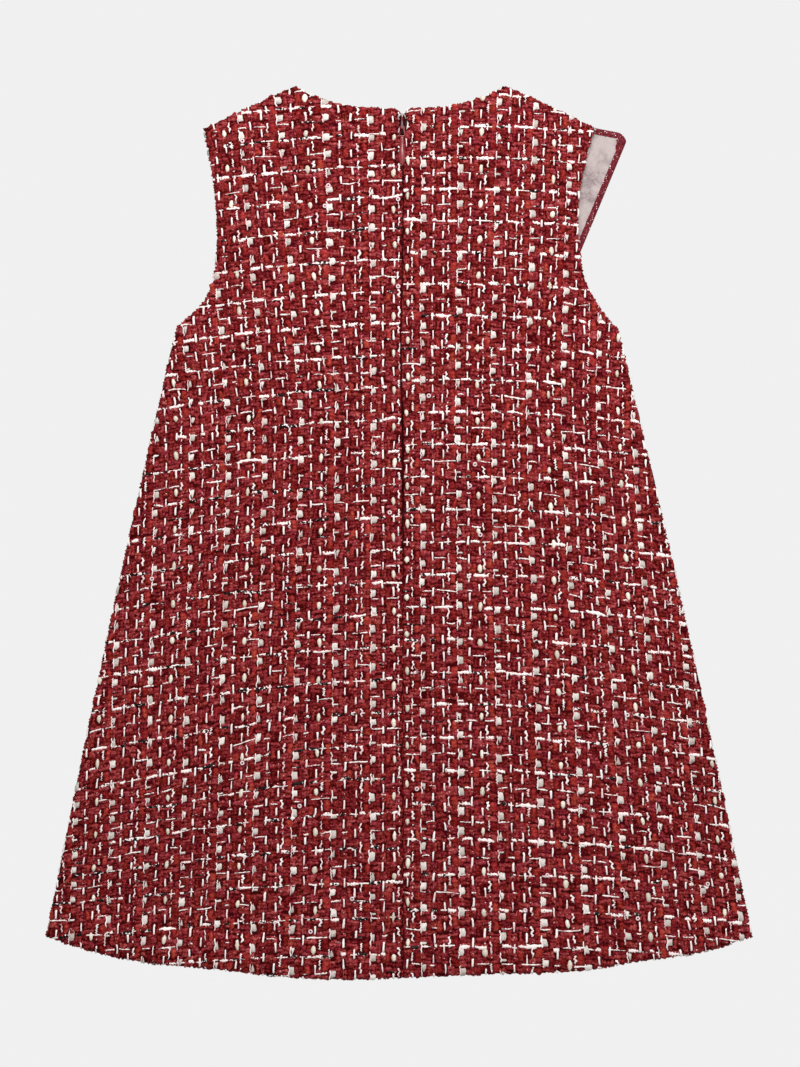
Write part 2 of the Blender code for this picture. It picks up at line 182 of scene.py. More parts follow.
def hemY(x):
    half = np.where(x < 0, cut["sides"][0][1], cut["sides"][0][2])
    share = np.minimum(np.abs(x) / half, 1.0)
    rise = (cut["hemCornerY"] - cut["hemMiddleY"]) * share ** cut["hemPower"]
    wave = np.clip(x / cut["hemSwayHalfWave"], -1.0, 1.0)
    lift = sum(height * np.exp(-((x - middle) / reach) ** 2) for middle, reach, height in cut["hemLifts"])
    return cut["hemMiddleY"] + rise + cut["hemSway"] * np.sin(math.pi * wave) + lift


def wallAt(x, y):
    above = y - hemY(x) - (layers["hemAllowance"] - layers["hemStep"])
    single = smooth(above / layers["hemStep"])
    return layers["hemWall"] + (layers["wall"] - layers["hemWall"]) * single


def flounceLift(x, y, ramp):
    seamTop, corner, tail = (np.array(flounceCut[k]) for k in ("seamTop", "corner", "tail"))
    head = (seamTop + corner) / 2
    length = np.linalg.norm(tail - head)
    axis = (tail - head) / length
    along = (x - head[0]) * axis[0] + (y - head[1]) * axis[1]
    across = np.abs((x - head[0]) * axis[1] - (y - head[1]) * axis[0])
    headHalf = np.linalg.norm(corner - seamTop) / 2
    half = headHalf + (flounceCut["tailWidth"] - headHalf) * np.clip(along / length, 0.0, 1.0)
    beside = (across - half - flounceCut["margin"]) / ramp
    pastTail = (along - length - flounceCut["margin"]) / ramp
    beyond = np.hypot(np.maximum(beside, 0.0), np.maximum(pastTail, 0.0))
    full = flounceCut["face"] + flounceCut["lining"] + 2 * layers["seamGap"]
    return full * (1.0 - smooth(beyond))


def edgeDistance(x, y):
    # roughly how far inside the side seams, armholes and shoulder seams
    tip, neck = cut["shoulderTip"], cut["neckPoint"]
    toSide = sideHalf(x, np.clip(y, cut["hemCornerY"], tip[1])) - np.abs(x)
    fall = (tip[1] - neck[1]) / (tip[0] - neck[0])
    shoulderY = neck[1] + fall * (np.abs(x) - neck[0])
    offNeck = np.maximum(neck[0] - np.abs(x), 0.0)
    return np.maximum(np.minimum(toSide, shoulderY - y + offNeck), 0.0)


def frontMiddle(x, y):
    turned = layers["edgeRise"] * (1.0 - smooth(edgeDistance(x, y) / layers["edgeTurn"]))
    return wallAt(x, y) / 2 + turned + flounceLift(x, y, flounceCut["frontRamp"])


def foldHeight(x, y):
    total = 0.0
    for hemX, topX, topY, width, height in layers["folds"]:
        down = (topY - y) / (topY - cut["hemMiddleY"])
        crestX = topX + (hemX - topX) * down
        wide = width * (1.0 + layers["foldFlare"] * (np.maximum(down, 0.0) - 0.5))
        total = total + height * smooth(down / layers["foldFull"]) * np.exp(-((x - crestX) / wide) ** 2)
    return total


def backMiddle(x, y):
    inside = smooth(edgeDistance(x, y) / layers["airReach"])
    lift = flounceLift(x, y, flounceCut["backRamp"]) - flounceLift(x, y, flounceCut["frontRamp"])
    onFront = frontMiddle(x, y) + wallAt(x, y) + layers["seamGap"]
    return onFront + inside * (layers["air"] + foldHeight(x, y) + lift)


# The yarns stand on the ground cloth of each layer, which lies just inside the solid's outer face.
ground = {
    "backDepth": 0.0011,
    "frontDepth": 0.0010,
    "flounceDepth": 0.0009,
    "thick": 0.0011,
}


def backGround(x, y):
    return backMiddle(x, y) + wallAt(x, y) / 2 - ground["backDepth"]


def frontGround(x, y):
    return frontMiddle(x, y) - wallAt(x, y) / 2 + ground["frontDepth"]


def flounceGround(x, y):
    return np.full(np.shape(x), ground["flounceDepth"])


def openingHalf(y, widest=zipCut["openingHalf"]):
    # half the gap at the centre back, which opens under the neckline
    share = (y - zipCut["openingLowY"]) / (zipCut["openingTopY"] - zipCut["openingLowY"])
    gap = widest * np.sin(math.pi * np.clip(share, 0.0, zipCut["openingAtNeck"]))
    return layers["seamGap"] / 2 + gap


# Outlines, and how cloth and yarns turn under at them.
# How far inside the outline the turn's outer face lies, its radius, and how far round the cloth goes
edgeKinds = {
    "hem": (0.0010, 0.0017, 150.0),
    "seam": (0.0010, 0.0018, 125.0),
    "free": (0.0010, 0.0014, 150.0),
    "frontSeam": (0.0010, 0.0009, 110.0),
    "frontFree": (0.0010, 0.0011, 130.0),
    "flounce": (0.0004, 0.0004, 90.0),
}


def neckAt(part, side, isFront):
    # the neckline, part of the way from its middle to the neck point
    low, power = cut["frontNeck" if isFront else "backNeck"]
    neckX, neckY = cut["neckPoint"]
    return np.array([side * neckX * part, low + (neckY - low) * part ** power])


def shoulderAt(part, side):
    # the shoulder seam, part of the way from the neck point to its tip
    neckX, neckY = cut["neckPoint"]
    tipX, tipY = float(sideHalf(side, cut["shoulderTip"][1])), cut["shoulderTip"][1]
    bulge = cut["shoulderBulge"] * np.sin(math.pi * part)
    return np.array([side * (neckX + (tipX - neckX) * part), neckY + (tipY - neckY) * part + bulge])


def holeHalf(y, side, isFront):
    # half the width, which the front's armhole makes a little less
    part = np.clip((y - cut["underarmY"]) / (cut["shoulderTip"][1] - cut["underarmY"]), 0.0, 1.0)
    return sideHalf(side, y) - cut["frontScoop"] * np.sin(math.pi * part) * isFront


def topCurve(isFront, side, count):
    neck = neckAt(np.linspace(0.0, 1.0, count), side, isFront)
    return neck.T, shoulderAt(np.linspace(0.0, 1.0, count // 3)[1:], side).T


def sideCurve(isFront, side, count):
    # the side seam from the hem up, then the armhole
    seamY = np.linspace(cut["hemCornerY"], cut["underarmY"], count)
    holeY = np.linspace(cut["underarmY"], cut["shoulderTip"][1], count)[1:]
    seam = np.column_stack([side * sideHalf(side, seamY), seamY])
    return seam, np.column_stack([side * holeHalf(holeY, side, isFront), holeY])


def dressOutline(isFront):
    # anticlockwise from the left end of the hem, with the kind of each stretch
    hemX = np.linspace(-cut["sides"][0][1], cut["sides"][0][2], 130)
    hem = np.column_stack([hemX, hemY(hemX)])
    seamRight, holeRight = sideCurve(isFront, 1, 70)
    seamLeft, holeLeft = sideCurve(isFront, -1, 70)
    neckRight, shoulderRight = topCurve(isFront, 1, 60)
    neckLeft, shoulderLeft = topCurve(isFront, -1, 60)
    seamKind, freeKind = ("frontSeam", "frontFree") if isFront else ("seam", "free")
    parts = (
        (hem, "hem"),
        (seamRight[1:], seamKind),
        (holeRight, freeKind),
        (shoulderRight[::-1][1:], seamKind),
        (neckRight[::-1], freeKind),
        (neckLeft[1:], freeKind),
        (shoulderLeft, seamKind),
        (holeLeft[::-1][1:], freeKind),
        (seamLeft[::-1], seamKind),
    )
    points = np.vstack([part for part, kind in parts])
    kinds = [kind for part, kind in parts for _ in part]
    return points, kinds


def asEdge(points, kinds):
    # each stretch runs from one point to the next, and takes the kind of the next
    ends = np.roll(points, -1, axis=0)
    kinds = kinds[1:] + kinds[:1]
    settings = np.array([edgeKinds[kind] for kind in kinds])
    keep = np.linalg.norm(ends - points, axis=1) > 1e-7
    return {
        "starts": points[keep],
        "ends": ends[keep],
        "inset": settings[keep, 0],
        "radius": settings[keep, 1],
        "turn": np.radians(settings[keep, 2]),
    }


deepMap = {
    "cell": 0.0025,
    "deep": 0.0080,     # further inside than this no yarn reaches the outline
    "margin": 0.01,
    "chunk": 6000,      # points that toEdge takes at a time
}


def toEdge(edge, x, y):
    # signed distance inwards from the outline, the nearest point and its stretch
    starts, ends = edge["starts"], edge["ends"]
    along = ends - starts
    lengthSquared = (along ** 2).sum(1)
    count = len(x)
    distance, index = np.zeros(count), np.zeros(count, int)
    nearest = np.zeros((count, 2))
    chunk = deepMap["chunk"]
    for first in range(0, count, chunk):
        px, py = x[first:first + chunk, None], y[first:first + chunk, None]
        share = ((px - starts[:, 0]) * along[:, 0] + (py - starts[:, 1]) * along[:, 1]) / lengthSquared
        share = np.clip(share, 0.0, 1.0)
        qx, qy = starts[:, 0] + share * along[:, 0], starts[:, 1] + share * along[:, 1]
        far = (px - qx) ** 2 + (py - qy) ** 2
        best = far.argmin(1)
        rows = np.arange(len(best))
        crosses = (starts[:, 1] > py) != (ends[:, 1] > py)
        rise = np.where(np.abs(along[:, 1]) < 1e-12, 1e-12, along[:, 1])
        crossX = starts[:, 0] + (py - starts[:, 1]) / rise * along[:, 0]
        inside = (crosses & (px < crossX)).sum(1) % 2 == 1
        part = slice(first, first + len(best))
        distance[part] = np.sqrt(far[rows, best]) * np.where(inside, 1.0, -1.0)
        nearest[part] = np.column_stack([qx[rows, best], qy[rows, best]])
        index[part] = best
    return distance, nearest, index


def addDeepMap(edge):
    # which cells of a grid lie deep inside the outline, so that their points need no turning
    low = edge["starts"].min(0) - deepMap["margin"]
    high = edge["starts"].max(0) + deepMap["margin"]
    across, up = (np.arange(low[axis], high[axis], deepMap["cell"]) for axis in (0, 1))
    gridX, gridY = np.meshgrid(across, up)
    distance = toEdge(edge, gridX.ravel(), gridY.ravel())[0]
    edge["isDeep"] = distance.reshape(gridX.shape) > deepMap["deep"]
    edge["low"], edge["high"] = low, high


def isDeep(edge, x, y):
    rows, columns = edge["isDeep"].shape
    column = np.clip(np.rint((x - edge["low"][0]) / deepMap["cell"]).astype(int), 0, columns - 1)
    row = np.clip(np.rint((y - edge["low"][1]) / deepMap["cell"]).astype(int), 0, rows - 1)
    return edge["isDeep"][row, column]


# The two back panels roll into the slit of the concealed zip, and meet flat below it.
slit = {
    "radius": 0.0006,
    "turn": 130.0,
    "turnBelow": 58.0,       # the sewn seam under the zip is only a shallow line
    "seamFromY": -0.008,
    "openReach": 0.012,
    "inset": 0.00006,
    "gape": 0.00040,         # the slit gapes most here
    "gapeY": 0.055,
    "gapeReach": 0.060,
    "openInset": 0.00012,    # above the seam each side stands back by this much
    "squeeze": 0.88,
    "squeezeEarly": 1.0,     # how much sooner the yarns flatten towards the slit
    "wander": -0.0016,       # it wanders a little to the left there
    "wanderY": 0.131,
    "wanderReach": 0.045,
    "shift": 0.0007,
}

# how far the cloth sinks beside the top of the zip: reach across and depth
notch = {-1: (0.0064, 0.0022), 1: (0.0038, 0.0018), "fromY": 0.2865, "reachY": 0.0110}


def slitX(y):
    return cut["centreBackX"] + slit["shift"] + slit["wander"] * np.exp(
        -((y - slit["wanderY"]) / slit["wanderReach"]) ** 2)


def slitOpen(y):
    return smooth((y - slit["seamFromY"]) / slit["openReach"])


def slitInset(y):
    gape = slit["gape"] * np.exp(-((y - slit["gapeY"]) / slit["gapeReach"]) ** 2)
    return slit["inset"] + slit["openInset"] * slitOpen(y) + gape


def slitTurn(y):
    return np.radians(slit["turnBelow"] + (slit["turn"] - slit["turnBelow"]) * slitOpen(y))


def layDown(cloth, x, y, height):
    # cloth or yarn points, at a height over the flat ground cloth, to where they lie on the dress
    x, y, height = (np.array(values, float).ravel() for values in (x, y, height))
    level = cloth["ground"](x, y)
    if cloth["side"]:
        side = cloth["side"]
        edgeX = slitX(y) + side * openingHalf(y)
        off = side * (x - edgeX) - slitInset(y)
        near = off < slit["radius"]
        angle = np.clip((slit["radius"] - off) / slit["radius"], 0.0, slitTurn(y))
        reachX, depth = notch[side]
        sunk = (1.0 - smooth(off / reachX)) * smooth((y - notch["fromY"]) / notch["reachY"]) * depth
        early = angle * (1.0 + slit["squeezeEarly"] * slitOpen(y))
        reach = slit["radius"] + height * (1.0 - slit["squeeze"] * np.sin(np.minimum(early, math.pi / 2)))
        turnedX = edgeX + side * (slitInset(y) + slit["radius"] - reach * np.sin(angle))
        turnedHeight = reach * np.cos(angle) - slit["radius"]
        x, height = np.where(near, turnedX, x), np.where(near, turnedHeight, height)
    edge = cloth["edge"]
    shallow = np.flatnonzero(~isDeep(edge, x, y))
    flatX, flatY, flatHeight = x[shallow], y[shallow], height[shallow]
    distance, nearest, index = toEdge(edge, flatX, flatY)
    inset, radius, turn = edge["inset"][index], edge["radius"][index], edge["turn"][index]
    off = distance - inset
    near = off < radius
    angle = np.clip((radius - off) / radius, 0.0, turn)
    inward = np.column_stack([flatX, flatY]) - nearest
    inward *= (np.sign(distance) / np.maximum(np.abs(distance), 1e-9))[:, None]
    newOff = radius - (radius + flatHeight) * np.sin(angle) + inset
    x[shallow] = np.where(near, nearest[:, 0] + inward[:, 0] * newOff, flatX)
    y[shallow] = np.where(near, nearest[:, 1] + inward[:, 1] * newOff, flatY)
    height[shallow] = np.where(near, (radius + flatHeight) * np.cos(angle) - radius, flatHeight)
    if cloth["side"]:
        y = y - sunk
    return np.column_stack([x, y, level + cloth["up"] * height])


def unrolled(cloth, x, y):
    # how much cloth is left before its turned edge ends, below 0 past it
    edge = cloth["edge"]
    left = np.full(len(x), deepMap["deep"])
    shallow = np.flatnonzero(~isDeep(edge, x, y))
    distance, _, index = toEdge(edge, x[shallow], y[shallow])
    left[shallow] = distance - edge["inset"][index] + edge["radius"][index] * (edge["turn"][index] - 1.0)
    if cloth["side"]:
        side = cloth["side"]
        off = side * (x - slitX(y) - side * openingHalf(y)) - slitInset(y)
        left = np.minimum(left, off + slit["radius"] * (slitTurn(y) - 1.0))
    return left


backEdge = asEdge(*dressOutline(False))
frontEdge = asEdge(*dressOutline(True))
addDeepMap(backEdge)
addDeepMap(frontEdge)

redYarn = {
    "roughness": 0.9, "specular": 0.05, "grain": 950.0, "mottle": 560.0, "bump": 0.7,
    "mottleShare": 0.95, "grainShare": 1.1, "hueShare": 0.028,
}
ivoryYarn = {
    "roughness": 0.65, "specular": 0.3, "grain": 1900.0, "mottle": 800.0, "bump": 0.3,
    "mottleShare": 1.4, "grainShare": 0.7, "hueShare": 0.0,
}
finishes = {
    "redWeft": {**redYarn, "ramp": (
        (0.0, (62, 2, 4)), (0.28, (105, 21, 24)), (0.60, (146, 49, 52)), (0.85, (179, 84, 84)),
        (1.0, (207, 125, 121)),
    )},
    "redWarp": {**redYarn, "ramp": (
        (0.0, (66, 2, 4)), (0.28, (109, 22, 25)), (0.60, (151, 50, 51)), (0.85, (181, 81, 75)),
        (1.0, (205, 115, 103)),
    )},
    "orangePuff": {**redYarn, "roughness": 0.95, "bump": 0.8, "grainShare": 1.2, "ramp": (
        (0.0, (78, 3, 5)), (0.32, (122, 26, 26)), (0.64, (158, 50, 45)), (1.0, (198, 88, 73)),
    )},
    "whiteRibbon": {
        "roughness": 0.5, "specular": 0.4, "grain": 2600.0, "mottle": 900.0, "bump": 0.2,
        "mottleShare": 1.4, "grainShare": 0.5, "hueShare": 0.0, "ramp": (
            (0.0, (236, 192, 192)), (0.3, (255, 232, 229)), (0.8, (255, 244, 241)), (1.0, (255, 250, 247)),
        ),
    },
    "ivoryTape": {**ivoryYarn, "ramp": (
        (0.0, (178, 165, 156)), (0.35, (203, 195, 187)), (0.8, (225, 217, 210)), (1.0, (243, 236, 229)),
    )},
    "creamSlub": {**ivoryYarn, "ramp": (
        (0.0, (186, 171, 153)), (0.35, (214, 203, 186)), (0.8, (236, 228, 210)), (1.0, (248, 242, 228)),
    )},
}


def newMaterial(name, roughness, specular=0.5):
    material = bpy.data.materials.new(name)
    material.use_nodes = True
    tree = material.node_tree
    shader = tree.nodes["Principled BSDF"]
    shader.inputs["Roughness"].default_value = roughness
    shader.inputs["Specular IOR Level"].default_value = specular
    return material, tree, shader


def placeIn(tree):
    return tree.nodes.new("ShaderNodeTexCoord").outputs["Object"]


def tintIn(tree):
    # the tint that joinedMesh gives each copy, with the template's painted shade added at its ends, sides
    # and pinches
    tint = tree.nodes.new("ShaderNodeAttribute")
    tint.attribute_name = "tint"
    return tint.outputs["Fac"]


def addNoise(tree, vector, scale, detail=3.0):
    noise = tree.nodes.new("ShaderNodeTexNoise")
    noise.inputs["Scale"].default_value = scale
    noise.inputs["Detail"].default_value = detail
    noise.inputs["Roughness"].default_value = 0.6
    tree.links.new(vector, noise.inputs["Vector"])
    return noise.outputs["Fac"]


def addMath(tree, operation, first, second):
    node = tree.nodes.new("ShaderNodeMath")
    node.operation = operation
    for socket, value in zip(node.inputs, (first, second)):
        if isinstance(value, (int, float)):
            socket.default_value = value
        else:
            tree.links.new(value, socket)
    return node.outputs["Value"]


def addRamp(tree, factor, stops):
    ramp = tree.nodes.new("ShaderNodeValToRGB")
    elements = ramp.color_ramp.elements
    while len(elements) < len(stops):
        elements.new(0.5)
    for element, (position, colour) in zip(elements, stops):
        element.position = position
        element.color = linear(*colour)
    tree.links.new(factor, ramp.inputs["Fac"])
    return ramp.outputs["Color"]


def addBump(tree, shader, height, strength, distance):
    bump = tree.nodes.new("ShaderNodeBump")
    bump.inputs["Strength"].default_value = strength
    bump.inputs["Distance"].default_value = distance
    tree.links.new(height, bump.inputs["Height"])
    tree.links.new(bump.outputs["Normal"], shader.inputs["Normal"])


def addShare(tree, value, share, middle=0.0):
    # a noise about its middle, spread by a share
    node = addMath(tree, "MULTIPLY_ADD", value, share)
    node.node.inputs[2].default_value = middle - share / 2
    return node


def yarnMaterial(name, finish):
    # each float has its own tint, darkened by painted shade at its ends, sides and pinches, and mottled by
    # soft and fine noise
    material, tree, shader = newMaterial(name, finish["roughness"], finish["specular"])
    place, tint = placeIn(tree), tintIn(tree)
    mottle = addNoise(tree, place, finish["mottle"], 2.0)
    grain = addNoise(tree, place, finish["grain"], 2.0)
    mixed = addMath(tree, "ADD", tint, addShare(tree, mottle, finish["mottleShare"]))
    mixed = addMath(tree, "ADD", mixed, addShare(tree, grain, finish["grainShare"]))
    colour = addRamp(tree, mixed, finish["ramp"])
    if finish["hueShare"]:  # some stretches are nearer orange, others nearer crimson
        hue = tree.nodes.new("ShaderNodeHueSaturation")
        turned = addShare(tree, addNoise(tree, place, 170.0, 2.0), finish["hueShare"], 0.5)
        tree.links.new(turned, hue.inputs["Hue"])
        tree.links.new(colour, hue.inputs["Color"])
        colour = hue.outputs["Color"]
    tree.links.new(colour, shader.inputs["Base Color"])
    addBump(tree, shader, grain, finish["bump"], 0.0004)
    return material


def noisyMaterial(name, stops, noise, roughness, specular=0.5, bump=None):
    # a ramp of colours over noise of a scale and detail, and a bump of a strength and height
    material, tree, shader = newMaterial(name, roughness, specular)
    mottle = addNoise(tree, placeIn(tree), *noise)
    tree.links.new(addRamp(tree, mottle, stops), shader.inputs["Base Color"])
    if bump:
        addBump(tree, shader, mottle, *bump)
    return material


def glintMaterial():
    # the crumpled white tape of the weft, whose creases mirror the dark, as a painted reflection: black
    # patches in its colour
    material, tree, shader = newMaterial("crumpled_tape", 0.45, 0.15)
    crumple = addNoise(tree, placeIn(tree), 400.0, 1.0)
    dark = addMath(tree, "ADD", crumple, tintIn(tree))
    # white, then black where noise and tint are high: the painted reflection of the dark
    stops = ((0.30, (255, 243, 240)), (0.90, (254, 237, 233)), (0.92, (70, 62, 62)), (0.935, (5, 3, 4)))
    tree.links.new(addRamp(tree, dark, stops), shader.inputs["Base Color"])
    addBump(tree, shader, crumple, 0.3, 0.0004)
    return material


materials = {name: yarnMaterial(name, finish) for name, finish in finishes.items()}
# the cloth under the yarns: dark burgundy cloth, coloured darker still as painted shade in the gaps between
# the yarns
groundAndGapShadeStops = ((0.25, (38, 2, 3)), (0.5, (62, 5, 8)), (0.8, (92, 16, 20)))  # the dark cloth in the gaps
materials["ground"] = noisyMaterial("ground_cloth_and_gap_shade", groundAndGapShadeStops, (420.0, 4.0), 0.95, 0.05, (0.8, 0.0006))
materials["crumpledTape"] = glintMaterial()
print("materials made")

# One float or strand of each yarn, made once and then repeated.
# Each is a small open shell from -0.5 to 0.5 across (x) and along (y), its height in z from 0 to 1.


def faceUp(bm, up=1):
    # the faces all look up, or down where up is below 0
    bm.normal_update()
    if sum(face.normal.z for face in bm.faces) * up < 0:
        bmesh.ops.reverse_faces(bm, faces=bm.faces)


def newObject(name, mesh, material):
    mesh.materials.append(material)
    obj = bpy.data.objects.new(name, mesh)
    bpy.context.scene.collection.objects.link(obj)
    return obj


def asObject(name, bm, material):
    mesh = bpy.data.meshes.new(name)
    bm.to_mesh(mesh)
    bm.free()
    mesh.shade_smooth()
    return newObject(name, mesh, material)


def shellTemplate(columns, rows, profile, arch, taper=None, bend=None, paintedRowShade=None, paintedSideShade=0.0):
    # the two shade arguments give how much darker each row is painted, and the sides: painted shade where a
    # float tucks under at its ends, along its sides and in the pinches between its lumps
    bm = bmesh.new()
    bmesh.ops.create_grid(bm, x_segments=columns - 1, y_segments=rows - 1, size=0.5)
    shade = []
    for vert in bm.verts:
        across, along = vert.co.x, vert.co.y
        column = round((across + 0.5) * (columns - 1))
        row = round((along + 0.5) * (rows - 1))
        narrow = taper[row] if taper else 1.0
        vert.co.x = across * narrow + (bend[row] if bend else 0.0)
        vert.co.z = profile[column] * arch[row] - (0.25 if row in (0, rows - 1) else 0.0)
        # each point's painted shade, darker where the float tucks under, along its sides and in its pinches
        shade.append(-(paintedRowShade[row] if paintedRowShade else 0.0) - (paintedSideShade if column in (0, columns - 1) else 0.0))
    bm.verts.ensure_lookup_table()
    points = np.array([vert.co[:] for vert in bm.verts])
    faces = np.array([[vert.index for vert in face.verts] for face in bm.faces])
    bm.free()
    grid = np.array([(c / (columns - 1), r / (rows - 1)) for r in range(rows) for c in range(columns)])
    return {"points": points, "faces": faces, "map": grid, "shade": np.array(shade)}


def withBends(template, size, bends):
    # the same shell with other bends, of which each copy takes one at random
    row = np.rint((template["points"][:, 1] + 0.5) * (len(bends[0]) - 1)).astype(int)
    shapes = np.repeat(template["points"][None], len(bends), axis=0)
    shapes[..., 0] += size * np.array(bends)[:, row]
    template["shapes"] = shapes
    return template


# the darker rows and sides of the red floats below are painted shade
fineTemplates = {
    "strand": shellTemplate(3, 6, (0.0, 1.0, 0.0), (0.0, 0.95, 0.62, 1.0, 0.85, 0.0),
                            taper=(0.55, 1.2, 0.85, 1.25, 1.0, 0.5),
                            paintedRowShade=(0.45, 0.0, 0.14, 0.0, 0.05, 0.5), paintedSideShade=0.20),
    "cord": shellTemplate(4, 8, (0.0, 0.92, 0.92, 0.0), (0.0, 0.9, 1.0, 0.5, 1.05, 0.55, 1.0, 0.0),
                          taper=(0.5, 1.2, 1.1, 0.7, 1.25, 0.75, 1.25, 0.5),
                          paintedRowShade=(0.5, 0.0, 0.04, 0.2, 0.0, 0.18, 0.0, 0.5), paintedSideShade=0.26),
    "puff": shellTemplate(4, 7, (0.0, 0.95, 0.95, 0.0), (0.0, 0.7, 1.0, 0.8, 1.0, 0.7, 0.0),
                          taper=(0.45, 0.95, 1.15, 0.95, 1.15, 0.9, 0.45),
                          paintedRowShade=(0.45, 0.08, 0.0, 0.16, 0.0, 0.08, 0.45), paintedSideShade=0.22),
    "ribbon": shellTemplate(3, 7, (0.45, 1.0, 0.45), (0.0, 0.85, 1.0, 1.0, 1.0, 0.8, 0.0),
                            taper=(0.9, 1.05, 0.95, 1.0, 0.9, 1.0, 0.5)),
    "curl": withBends(
        shellTemplate(3, 11, (0.5, 1.0, 0.5), (0.0, 0.7, 0.95, 1.0, 0.9, 1.0, 0.9, 1.0, 0.95, 0.7, 0.0)),
        0.8,
        (
            (0.0, 0.5, -0.35, 0.45, -0.5, 0.4, -0.3, 0.5, -0.4, 0.3, 0.0),
            (0.3, 0.1, -0.4, -0.5, -0.1, 0.4, 0.5, 0.1, -0.3, -0.2, 0.1),
            (-0.2, 0.3, 0.4, -0.3, -0.2, 0.0, 0.6, 0.5, -0.4, -0.5, -0.3),
            (0.0, -0.1, 0.1, 0.5, 0.4, -0.5, -0.4, 0.1, 0.0, 0.3, 0.5),
        ),
    ),
    "tape": shellTemplate(5, 5, (0.5, 0.97, 1.0, 0.97, 0.5), (0.0, 0.95, 1.0, 0.97, 0.1),
                          taper=(0.86, 1.0, 1.0, 0.98, 0.84)),
    "slub": shellTemplate(5, 7, (0.1, 0.85, 1.0, 0.85, 0.1), (0.0, 0.6, 0.95, 1.0, 1.0, 0.65, 0.0),
                          taper=(0.25, 0.62, 1.0, 1.06, 0.95, 0.66, 0.3)),
    "crumple": shellTemplate(3, 9, (0.4, 1.0, 0.4), (0.0, 0.75, 1.0, 0.85, 1.05, 0.9, 1.0, 0.75, 0.0),
                             taper=(0.6, 1.2, 0.7, 1.25, 0.8, 1.3, 0.75, 1.1, 0.5)),
    "dot": shellTemplate(3, 3, (0.2, 1.0, 0.2), (0.2, 1.0, 0.2)),
    "plain": shellTemplate(3, 4, (0.0, 1.0, 0.0), (0.3, 1.0, 0.9, 0.3), taper=(1.0, 1.15, 0.85, 1.0)),
}
# the darker ends and sides of this strand are painted shade
coarseStrand = shellTemplate(3, 4, (0.0, 1.0, 0.0), (0.0, 1.0, 1.0, 0.0), taper=(0.6, 1.1, 1.1, 0.6),
                             paintedRowShade=(0.5, 0.0, 0.0, 0.5), paintedSideShade=0.24)
coarseTemplates = {
    "strand": coarseStrand,
    "cord": coarseStrand,
    "puff": shellTemplate(3, 5, (0.0, 1.0, 0.0), (0.0, 0.85, 1.0, 0.85, 0.0),
                          taper=(0.5, 1.1, 1.1, 1.1, 0.5)),
    "ribbon": shellTemplate(3, 4, (0.4, 1.0, 0.4), (0.0, 1.0, 1.0, 0.0), taper=(0.8, 1.0, 1.0, 0.7)),
    "curl": shellTemplate(3, 6, (0.5, 1.0, 0.5), (0.0, 0.8, 1.0, 0.9, 0.8, 0.0),
                          bend=(0.0, 0.5, -0.4, 0.5, -0.4, 0.0)),
    "tape": shellTemplate(3, 4, (0.6, 1.0, 0.6), (0.0, 1.0, 1.0, 0.1), taper=(0.9, 1.0, 1.0, 0.85)),
    "slub": shellTemplate(3, 5, (0.1, 1.0, 0.1), (0.0, 0.8, 1.0, 0.75, 0.0),
                          taper=(0.4, 0.85, 1.1, 0.9, 0.4)),
    "crumple": shellTemplate(3, 5, (0.4, 1.0, 0.4), (0.0, 1.0, 0.85, 1.0, 0.0),
                             taper=(0.6, 1.2, 0.8, 1.2, 0.6)),
    "dot": fineTemplates["dot"],
    "plain": fineTemplates["plain"],
}


def joinedMesh(name, template, points, tints, material):
    # many copies of a template as one mesh, each with its own tint, to which the template's painted shade
    # is added, and its own cell of the bake map
    count, size = len(points), len(template["points"])
    faces = (template["faces"][None] + (np.arange(count) * size)[:, None, None]).reshape(-1, 4)
    mesh = bpy.data.meshes.new(name)
    mesh.vertices.add(count * size)
    mesh.vertices.foreach_set("co", points.reshape(-1).astype(np.float32))
    mesh.loops.add(len(faces) * 4)
    mesh.loops.foreach_set("vertex_index", faces.reshape(-1).astype(np.int32))
    mesh.polygons.add(len(faces))
    mesh.polygons.foreach_set("loop_start", np.arange(0, len(faces) * 4, 4, dtype=np.int32))
    mesh.update(calc_edges=True)
    mesh.shade_smooth()
    tint = mesh.attributes.new("tint", "FLOAT", "POINT")
    # the tint attribute carries each copy's tone with the template's painted shade added
    toneAndShade = np.repeat(tints, size) + np.tile(template["shade"], count)
    tint.data.foreach_set("value", toneAndShade.astype(np.float32))
    cells = math.ceil(math.sqrt(count))
    corner = np.column_stack([np.arange(count) % cells, np.arange(count) // cells]) / cells
    inner = (0.08 + 0.84 * template["map"]) / cells
    places = (corner[:, None, :] + inner[None]).reshape(-1, 2)
    layer = mesh.uv_layers.new(name="OFBake")
    layer.data.foreach_set("uv", places[faces.reshape(-1)].reshape(-1).astype(np.float32))
    return newObject(name, mesh, material)


# the weave

weave = {
    "floatPicks": 6.0,       # a warp float comes back after this many picks
    "drift": 1.42,           # each half repeat's floats lie this many picks lower
    "topPick": 0.00208,      # picks at the top, and how much further apart they are lower down
    "middlePick": 0.00007,
    "hemPick": 0.00020,
    "accentEvery": 5.28,     # a white pick lies between the red ones this often, every other one strong
    "weftOverlap": 0.0014,
    "pickReach": 190,        # the picks and floats that are tried, each way from the anchor
    "accentReach": 40,
    "floatReach": 60,
    "fromX": -0.30,          # the stretch that the warp ends fill
    "wide": 0.62,
}
meanPick = weave["topPick"] + weave["middlePick"]

# place in the half repeat, phase in picks, how many picks a float covers, width
warpEnds = {
    "ribbon": (0.0, 0.0, 3.25, 0.00135),
    "redA": (0.14, 2.7, 3.3, 0.0024),
    "accent": (0.285, 2.7, 3.2, 0.00125),
    "curl": (0.425, 0.75, 3.4, 0.0010),
    "puff": (0.57, 0.75, 3.6, 0.0040),
    "tape": (0.735, 3.3, 3.0, 0.0040),
    "redB": (0.875, 3.3, 3.3, 0.0026),
}

